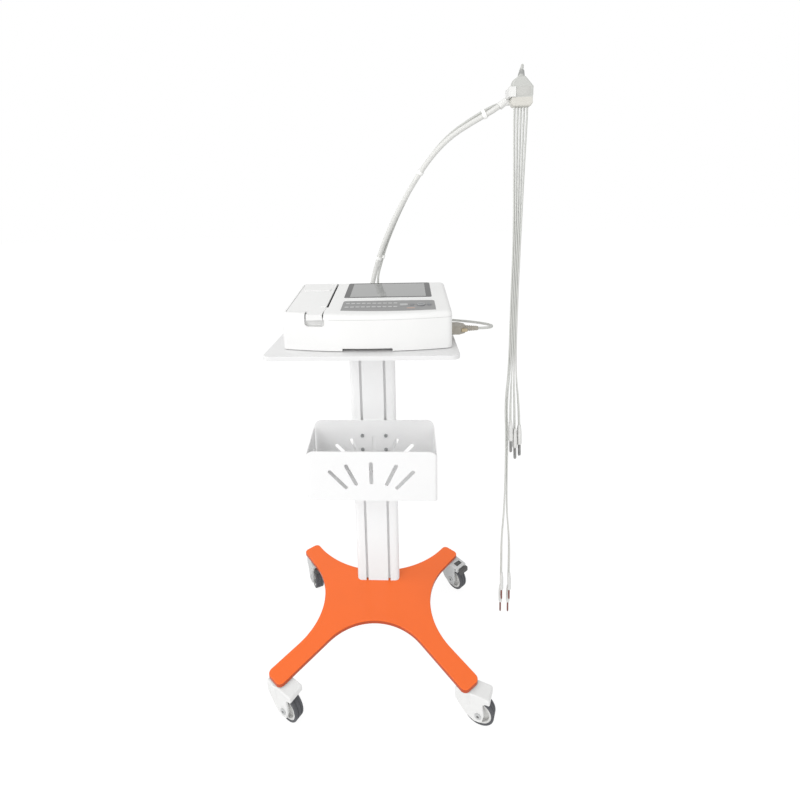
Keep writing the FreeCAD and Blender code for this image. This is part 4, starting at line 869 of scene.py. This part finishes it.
@dataclass(frozen=True)
class Studio:
    """Camera, lamps and floor round the object.

    Attributes:
        place: Place of the camera from the stand's axis, in millimetres.
        yaw: Turn of the view to the right, in radians.
        pitch: Fall of the view, in radians.
        roll: Turn of the picture, in radians.
        lens: Focal length in millimetres.
        sensor: Width of the sensor in millimetres.
        shift: Shift of the picture, in picture widths.
        nearest: Distance from which the camera sees, in metres.
        ambient: Strength of the light from all round.
        floor_side: Side of the floor in metres.
        floor_grey: Share of the light that the floor sends back.
        floor_rough: Roughness of the floor.
        glow: Strength of the white that evens out the floor.
        glow_share: Share of this white in what the camera sees.
        lamps: Lamps round the object.
    """

    place: Point = (84.43, -1069.84, 1083.29)
    yaw: float = -0.0538
    pitch: float = 0.1893
    roll: float = -0.0258
    lens: float = 20.357
    sensor: float = 36
    shift: Pair = (0.0231, -0.1359)
    nearest: float = 0.01
    ambient: float = 0.73
    floor_side: float = 30
    floor_grey: float = 0.86
    floor_rough: float = 0.8
    glow: float = 1.09
    glow_share: float = 0.84
    lamps: tuple[Lamp, ...] = (
        Lamp("key", (-1.6, -2.2, 2.3), (0.0, 0.0, 0.75), 1.6, 27),
        Lamp("front", (0.4, -2.6, 1.3), (0.0, 0.0, 0.7), 1.8, 15.5),
        Lamp("side", (-1.55, -0.2, 1.65), (0.0, 0.0, 0.3), 0.8, 6),
    )

    def set_camera(self) -> None:
        """Sets the camera where the photograph was taken."""
        forward = Vector((math.sin(self.yaw) * math.cos(self.pitch), math.cos(self.yaw) * math.cos(self.pitch),
                          -math.sin(self.pitch)))
        right = Vector((math.cos(self.yaw), -math.sin(self.yaw), 0))
        up = right.cross(forward)
        across = right * math.cos(self.roll) + up * math.sin(self.roll)
        above = up * math.cos(self.roll) - right * math.sin(self.roll)
        data = bpy.data.cameras.new("camera")
        data.sensor_width = self.sensor
        data.lens = self.lens
        data.shift_x, data.shift_y = self.shift
        data.clip_start = self.nearest
        camera = bpy.data.objects.new("camera", data)
        bpy.context.scene.collection.objects.link(camera)
        turn = Matrix((across, above, -forward)).transposed().to_4x4()
        camera.matrix_world = Matrix.Translation(stand_points(self.place)[0]) @ turn
        bpy.context.scene.camera = camera

    def set_world(self) -> None:
        """Lights the object evenly, and shows plain white behind it."""
        world = bpy.data.worlds.new("studio")
        bpy.context.scene.world = world
        world.use_nodes = True
        nodes, links = world.node_tree.nodes, world.node_tree.links
        seen = any_ray(world.node_tree, "Is Camera Ray", "Is Glossy Ray", "Is Transmission Ray")
        level = nodes.new("ShaderNodeMapRange")
        level.inputs["To Min"].default_value = self.ambient
        level.inputs["To Max"].default_value = 1.0
        links.new(seen, level.inputs["Value"])
        links.new(level.outputs["Result"], nodes["Background"].inputs["Strength"])
        nodes["Background"].inputs["Color"].default_value = (1, 1, 1, 1)

    def lay_floor(self) -> None:
        """Lays a pale floor that keeps the object's shadow."""
        bpy.ops.object.select_all(action="DESELECT")
        bpy.ops.mesh.primitive_plane_add(size=self.floor_side, location=(0, 0, 0))
        floor = bpy.context.active_object
        floor.name = "floor"
        material = bpy.data.materials.new("floor")
        material.use_nodes = True
        nodes, links = material.node_tree.nodes, material.node_tree.links
        surface = nodes["Principled BSDF"]
        surface.inputs["Base Color"].default_value = (*[self.floor_grey] * 3, 1)
        surface.inputs["Roughness"].default_value = self.floor_rough
        glow = nodes.new("ShaderNodeEmission")
        glow.inputs["Strength"].default_value = self.glow
        share = nodes.new("ShaderNodeMath")
        share.operation = "MULTIPLY"
        share.inputs[1].default_value = self.glow_share
        links.new(any_ray(material.node_tree, "Is Camera Ray", "Is Glossy Ray"), share.inputs[0])
        blend = nodes.new("ShaderNodeMixShader")
        links.new(share.outputs["Value"], blend.inputs["Fac"])
        links.new(surface.outputs["BSDF"], blend.inputs[1])
        links.new(glow.outputs["Emission"], blend.inputs[2])
        links.new(blend.outputs["Shader"], nodes["Material Output"].inputs["Surface"])
        floor.data.materials.append(material)

    def build(self) -> None:
        """Sets the camera, the world, the floor and the lamps."""
        self.set_camera()
        self.set_world()
        self.lay_floor()
        for lamp in self.lamps:
            lamp.build()
        bpy.context.scene.view_settings.view_transform = "Standard"


@dataclass(frozen=True)
class PatientCable:
    """Cable from the recorder's plug to the junction block, up along the boom.

    Attributes:
        diameter: Outside diameter in metres.
        lower: Route from the plug to the foot of the boom, in millimetres.
        upper: Route along the boom and round into the block, in millimetres.
        bend: Lowest and highest level of the stretch by the boom's swivel; not used.
    """

    diameter: float = 0.0055
    lower: tuple[Point, ...] = (
        (228.2, -185, 835.5), (241, -185, 835.5), (256, -176, 834.5), (262, -158, 832.5), (258, -138, 830),
        (246, -117, 827.5), (228, -95, 824.8), (204, -73, 822), (172, -52, 819.3), (134, -41, 818.4),
        (92, -35, 818.6), (56, -30, 824), (34, -21, 841), (22.5, -12.5, 864), (19.5, -9, 886),
    )
    upper: tuple[Point, ...] = (
        (19.5, -9, 916), (24.9, -5.6, 936), (41.4, -9.5, 989.8), (71.2, -21.4, 1058.8), (104.9, -36.4, 1122.6),
        (138.8, -52.8, 1179.4), (177.4, -72.4, 1222.4), (224.6, -96.1, 1251.2), (266.5, -113.2, 1271),
        (284, -101, 1274), (301, -89, 1279), (314, -82, 1293), (318, -79, 1313.6), (320, -79, 1333),
        (322, -94, 1345), (318.2, -112.3, 1342.9), (314.6, -123.3, 1329.8),
    )
    bend: Pair = (0.842, 0.905)

    def build(self) -> None:
        """Lays the cable as one fixed tube from the plug up along the boom into the block."""
        route = stand_points(*self.lower, *self.upper)
        cable = spline_tube("patient_cable", route, self.diameter / 2)
        path = line_points("patient_cable_path", route)
        CABLE_GREY.on([cable])
        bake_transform(cable)
        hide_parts("cable_lower", "cable_upper")
        LOG.info("patient cable, %.3f m", run_length(path))


@dataclass(frozen=True)
class LeadSet:
    """Ten leads that hang from the junction block, with their boots and pins.

    Attributes:
        diameter: Outside diameter of a lead in metres.
        block: Middle of the block's foot, in millimetres.
        pitch: Distance between columns of leads in the block, in millimetres.
        rows: Distance between the two rows, in millimetres.
        boot: Radius of a boot and its clearance, in millimetres.
        shape: Drift, share of the spacing and drop along the upper part that all leads share, in millimetres.
        columns: Number of columns of leads in the block.
        first_chest: First column of chest leads, which is also the middle column.
        chest: Drop of each column of chest leads, in millimetres.
        chest_step: Distance of a chest lead's drop from that of its column, in millimetres.
        chest_ends: First place and spacing of the chest leads' ends, in millimetres.
        chest_last: Drift and length of a chest lead's last stretch, in millimetres.
        limb: Side, depth and drop along the middle part of the limb leads, in millimetres.
        limb_gaps: Spacing of the limb leads across, and half of it in depth, along this part, in millimetres.
        limb_drop: Drop of the front limb leads, and half the step to the back ones, in millimetres.
        limb_ends: First place and spacing of the limb leads' ends, in millimetres.
        limb_line: Drop where a limb lead comes in line with its end, and how far it is off, in millimetres.
        limb_last: Drift and length of a limb lead's last stretch, in millimetres.
    """

    diameter: float = 0.0028
    block: Point = (311.03, -139, 1260)
    pitch: float = 6.0
    rows: float = 7.0
    boot: float = 4.6
    shape: tuple[Point, ...] = ((0, 1, 0), (0, 1, 22), (0, 0.8, 110), (0.4, 0.56, 250), (-1.5, 0.55, 380),
                                (-1.6, 0.56, 525))
    columns: int = 5
    first_chest: int = 2
    chest: tuple[float, ...] = (651, 667, 659)
    chest_step: float = 3
    chest_ends: Pair = (-1.5, 9.4)
    chest_last: Pair = (1.5, 40)
    limb: tuple[Point, ...] = ((-12, 11.2, 610), (-7, 12.2, 700), (-7.6, 6, 860))
    limb_gaps: Pair = (3.7, 1.8)
    limb_drop: Pair = (1028, 21.5)
    limb_ends: Pair = (-13, 17.5)
    limb_line: Pair = (940, 1)
    limb_last: Pair = (0.6, 43)

    def route(self, column: int, row: int) -> list[Point]:
        """Lays out one lead.

        Args:
            column: Place across the block, from 0 to 4.
            row: -1 in front, 1 behind.

        Returns:
            The lead's route in metres.
        """
        shift = (column - self.first_chest) * self.pitch + row * self.pitch / 4
        deep = row * self.rows / 2
        points = [(side + shift * draw, deep * draw, drop) for side, draw, drop in self.shape]
        across = row * self.boot
        if column >= self.first_chest:
            place = column - self.first_chest
            x = self.chest_ends[0] + self.chest_ends[1] * place
            low = self.chest[place] + self.chest_step * row
            drift, last = self.chest_last
            points += [(x - drift, across, low - last), (x, across, low)]
        else:
            x = self.limb_ends[0] + self.limb_ends[1] * column
            low = self.limb_drop[0] + self.limb_drop[1] * (row + 1)
            (wide, thick), (level, off), (drift, last) = self.limb_gaps, self.limb_line, self.limb_last
            points += [(side + wide * column, ahead + thick * row, drop) for side, ahead, drop in self.limb]
            points += [(x - off, across - off * row, level), (x, across, low - last), (x + drift, across, low)]
        left, front, foot = self.block
        return stand_points(*[(left + side, front + ahead, foot - drop) for side, ahead, drop in points])

    def build(self) -> None:
        """Hangs the ten leads."""
        for column in range(self.columns):
            for row in (-1, 1):
                route = self.route(column, row)
                kind = "chest" if column >= self.first_chest else "limb"
                name = f"{kind}_lead_{column}_{'front' if row < 0 else 'back'}"
                lead = spline_curve(name, route, self.diameter / 2)
                LEAD_GREY.on([lead])
                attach(lead, "boom_arm")
                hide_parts(kind + "_leads")
                path = line_points(name + "_path", route)
                LOG.info("%s, %.3f m", name, run_length(path))

    def dress(self) -> None:
        """Finishes the boots and pins."""
        BOOT_GREY.over("lead_boots")
        PIN_GREY.over("lead_pins")


@dataclass(frozen=True)
class CableBoom:
    """Bent boom with its ringed sleeve, clips, socket and block holder.

    Attributes:
        diameter: Outside diameter of the sleeve in metres.
        line: Route of the boom in millimetres.
        relief: Foot and tip of the block's strain relief, in millimetres.
        rings: Distances of its rings from the foot, in millimetres.
        taper: Radius of a ring at the foot, and what it loses with each millimetre.
        wire: Radius of a ring's wire, in metres.
        plate: Middle of the bare plate on the block, in millimetres.
        plate_size: Its three sides, in metres.
        plate_edge: Radius of its edges, in metres.
    """

    diameter: float = 0.011
    line: tuple[Point, ...] = (
        (0, 0, 819), (0, 0, 871.9), (12.7, -5.7, 928), (33.9, -15.1, 991.8), (65.8, -29.3, 1059.8),
        (102.2, -45.5, 1121.8), (138.9, -61.8, 1176), (179, -79.7, 1216.2), (226.7, -100.9, 1243.1),
        (269.3, -117.7, 1262.7), (284.7, -120.2, 1275),
    )
    relief: tuple[Point, Point] = ((309.53, -139, 1311), (314.62, -123.27, 1329.75))
    rings: tuple[float, ...] = (8, 11.5, 15, 18.5, 22)
    taper: Pair = (6.2, 0.104)
    wire: float = 0.0009
    plate: Point = (313, -149.1, 1287)
    plate_size: Point = (0.026, 0.0006, 0.016)
    plate_edge: float = 0.00025

    def build(self) -> None:
        """Draws the sleeve over the boom's route."""
        route = stand_points(*self.line)
        sleeve = spline_tube("boom_sleeve", route, self.diameter / 2)
        SLEEVE_WHITE.on([sleeve])
        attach(sleeve, "boom_arm")
        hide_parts("boom")

    def add_details(self) -> None:
        """Puts rings on the block's strain relief and a bare plate on its front."""
        foot, tip = (Vector(place) for place in stand_points(*self.relief))
        axis = (tip - foot).normalized()
        turn = axis.to_track_quat("Z", "X").to_euler()
        widest, loss = self.taper
        rings = [ring(foot + axis * (along * MM), turn, (widest - loss * along) * MM, self.wire)
                 for along in self.rings]
        add_piece(settled("relief_rings", rings), RELIEF_GREY, "boom_arm")
        plate = slab(Vector(stand_points(self.plate)[0]), self.plate_size, self.plate_edge)
        add_piece(settled("block_plate", [plate]), PLATE_GREY, "boom_arm")

    def dress(self) -> None:
        """Finishes the clips, socket, holder and block."""
        CLIP_WHITE.over("boom_clips")
        HOLDER_WHITE.over("block_holder", "boom_socket")
        BLOCK_GREY.over("junction_block")


@dataclass(frozen=True)
class Recorder:
    """Recorder on the tray: case, door, screen, keys, drive and fittings.

    Attributes:
        pad: Middle of the round pad key on the panel, in millimetres.
        pad_top: Height of the pad's face over the panel, in millimetres.
        pad_ring: Radius of the ring on the pad and of its wire, in metres.
        pointer: Distance of a pointer from the pad's middle, in millimetres.
        pointer_size: Radius of a pointer at its foot and at its top, and its height, in metres.
        level: Height of the line where the case halves part, in millimetres.
        bow: Middle and radius of the bowed front, in millimetres.
        side: Places of the right-hand wall and the back wall, in millimetres.
        corners: Middles of the rounded corners at the right, front first, in millimetres.
        turns: Directions from these middles along the line, in degrees.
        front: Places across along the line's front, in millimetres.
        right: Depths along its right-hand side, in millimetres.
        back: Places across along its back, in millimetres.
        bead: Radius of the grey bead that paints the shade of the parting line, in metres.
    """

    pad: Pair = (104, 43)
    pad_top: float = 1.4
    pad_ring: Pair = (0.0066, 0.0005)
    pointer: float = 4.4
    pointer_size: Point = (0.0012, 0.0009, 0.0006)
    level: float = 876
    bow: Point = (10, 389.03, 658.02)
    side: Pair = (171, -57)
    corners: tuple[Pair, ...] = ((159, -239.58), (159, -69))
    turns: tuple[tuple[float, ...], ...] = ((-76, -60, -45, -30, -15, 0), (0, 15, 30, 45, 60, 75, 90))
    front: tuple[float, ...] = (*range(-58, 150, 20), 155)
    right: tuple[float, ...] = tuple(range(-225, -80, 35))
    back: tuple[float, ...] = tuple(range(145, -140, -40))
    bead: float = 0.0003

    def seam(self) -> list[Point]:
        """Follows the line where the case halves part, from the door round the right-hand side to the back.

        Returns:
            The line in metres.
        """
        middle, deep, radius = self.bow
        wall, rear = self.side
        bends = [[(x + (wall - x) * math.cos(math.radians(turn)), y + (wall - x) * math.sin(math.radians(turn)))
                  for turn in steps] for (x, y), steps in zip(self.corners, self.turns)]
        flat = [(x, deep - math.sqrt(radius ** 2 - (x - middle) ** 2)) for x in self.front]
        flat += bends[0] + [(wall, y) for y in self.right]
        flat += bends[1] + [(x, rear) for x in self.back]
        return stand_points(*[(x, y, self.level) for x, y in flat])

    def add_details(self) -> None:
        """Puts a ring and four pointers on the pad key, and a fine grey bead between the case halves as painted
        shade of their parting line.
        """
        lean = math.radians(PANEL.slope)
        shapes = [ring(PANEL.spot(*self.pad, self.pad_top), (lean, 0, 0), *self.pad_ring)]
        foot, top, height = self.pointer_size
        for quarter in range(4):
            turn = quarter * math.pi / 2
            across = self.pad[0] - self.pointer * math.sin(turn)
            place = PANEL.spot(across, self.pad[1] + self.pointer * math.cos(turn), self.pad_top)
            bpy.ops.object.select_all(action="DESELECT")
            bpy.ops.mesh.primitive_cone_add(vertices=3, radius1=foot, radius2=top, depth=height,
                                            location=place, rotation=(lean, 0, turn))
            shapes.append(bpy.context.active_object)
        add_piece(settled("pad_ring", shapes), KEY_PALE, "key_pad")
        # Painted shade: a thin grey bead stands for the shadow in the gap between the case halves.
        add_piece(spline_tube("case_seam_shade", self.seam(), self.bead), SEAM_SHADE_GREY, "stand")

    def dress(self) -> None:
        """Finishes every piece of the recorder."""
        CASE_WHITE.over("lower_case", "upper_case", "paper_door")
        SCREEN_GREY.over("screen_glass")
        DISPLAY_GREY.over("display")
        KEYPAD_GREY.over("keypad")
        KEY_PALE.over("key_wide")
        KEY_GREY.over("key_small", "key_side", "key_pad")
        RUBBER_BLACK.over("platen_roller", "case_feet")
        HEAD_BLACK.over("print_head")
        PAPER.over("paper_roll")
        BOARD_GREEN.over("main_board")
        BATTERY_BLUE.over("battery")
        SOCKET_BLACK.over("patient_socket", "power_inlet")
        ZINC.over("ground_stud")
        PLUG_GREY.over("plug_hood")
        THUMB_BEIGE.over("plug_screws")


@dataclass(frozen=True)
class Stand:
    """Base plate, column, tray and basket with their fasteners."""

    def dress(self) -> None:
        """Finishes every piece of the stand."""
        BASE_ORANGE.over("base_plate")
        COLUMN_WHITE.over("column", "column_head")
        TRAY_WHITE.over("tray")
        SHEET_WHITE.over("basket")
        ZINC.over("castor_stems", "column_bolts", "tray_screws", "basket_screws", "basket_nuts")


@dataclass(frozen=True)
class Castor:
    """One swivelling castor.

    Attributes:
        corner: Place of the castor under the base.
    """

    corner: Corner

    def dress(self) -> None:
        """Finishes the fork, axle, hub and tyre, and the pedal of a braked castor."""
        where = self.corner.value
        braked = self.corner in (Corner.REAR_LEFT, Corner.REAR_RIGHT)
        (CASTOR_GREY if braked else CASTOR_WHITE).over("fork_" + where)
        axle = nodes_of("axle_" + where)
        corners = [Vector(corner) for corner in axle[0].bound_box]
        middle = tuple(sum(corners, Vector()) / len(corners))
        replace(AXLE_GREY, name="axle_" + where, middle=middle, turn=CASTOR_TURN[self.corner]).on(axle)
        HUB_GREY.over("hub_" + where)
        TYRE_GREY.over("tyre_" + where)
        if braked:
            PEDAL_GREY.over("pedal_" + where)


def main() -> None:
    """Builds the scene, camera and cords first."""
    logging.basicConfig(level=logging.INFO, format="%(message)s")
    Studio().build()
    PatientCable().build()
    leads = LeadSet()
    leads.build()
    leads.dress()
    boom = CableBoom()
    boom.build()
    boom.add_details()
    boom.dress()
    recorder = Recorder()
    recorder.add_details()
    recorder.dress()
    Stand().dress()
    for corner in Corner:
        Castor(corner).dress()


if __name__ == "__main__":
    main()
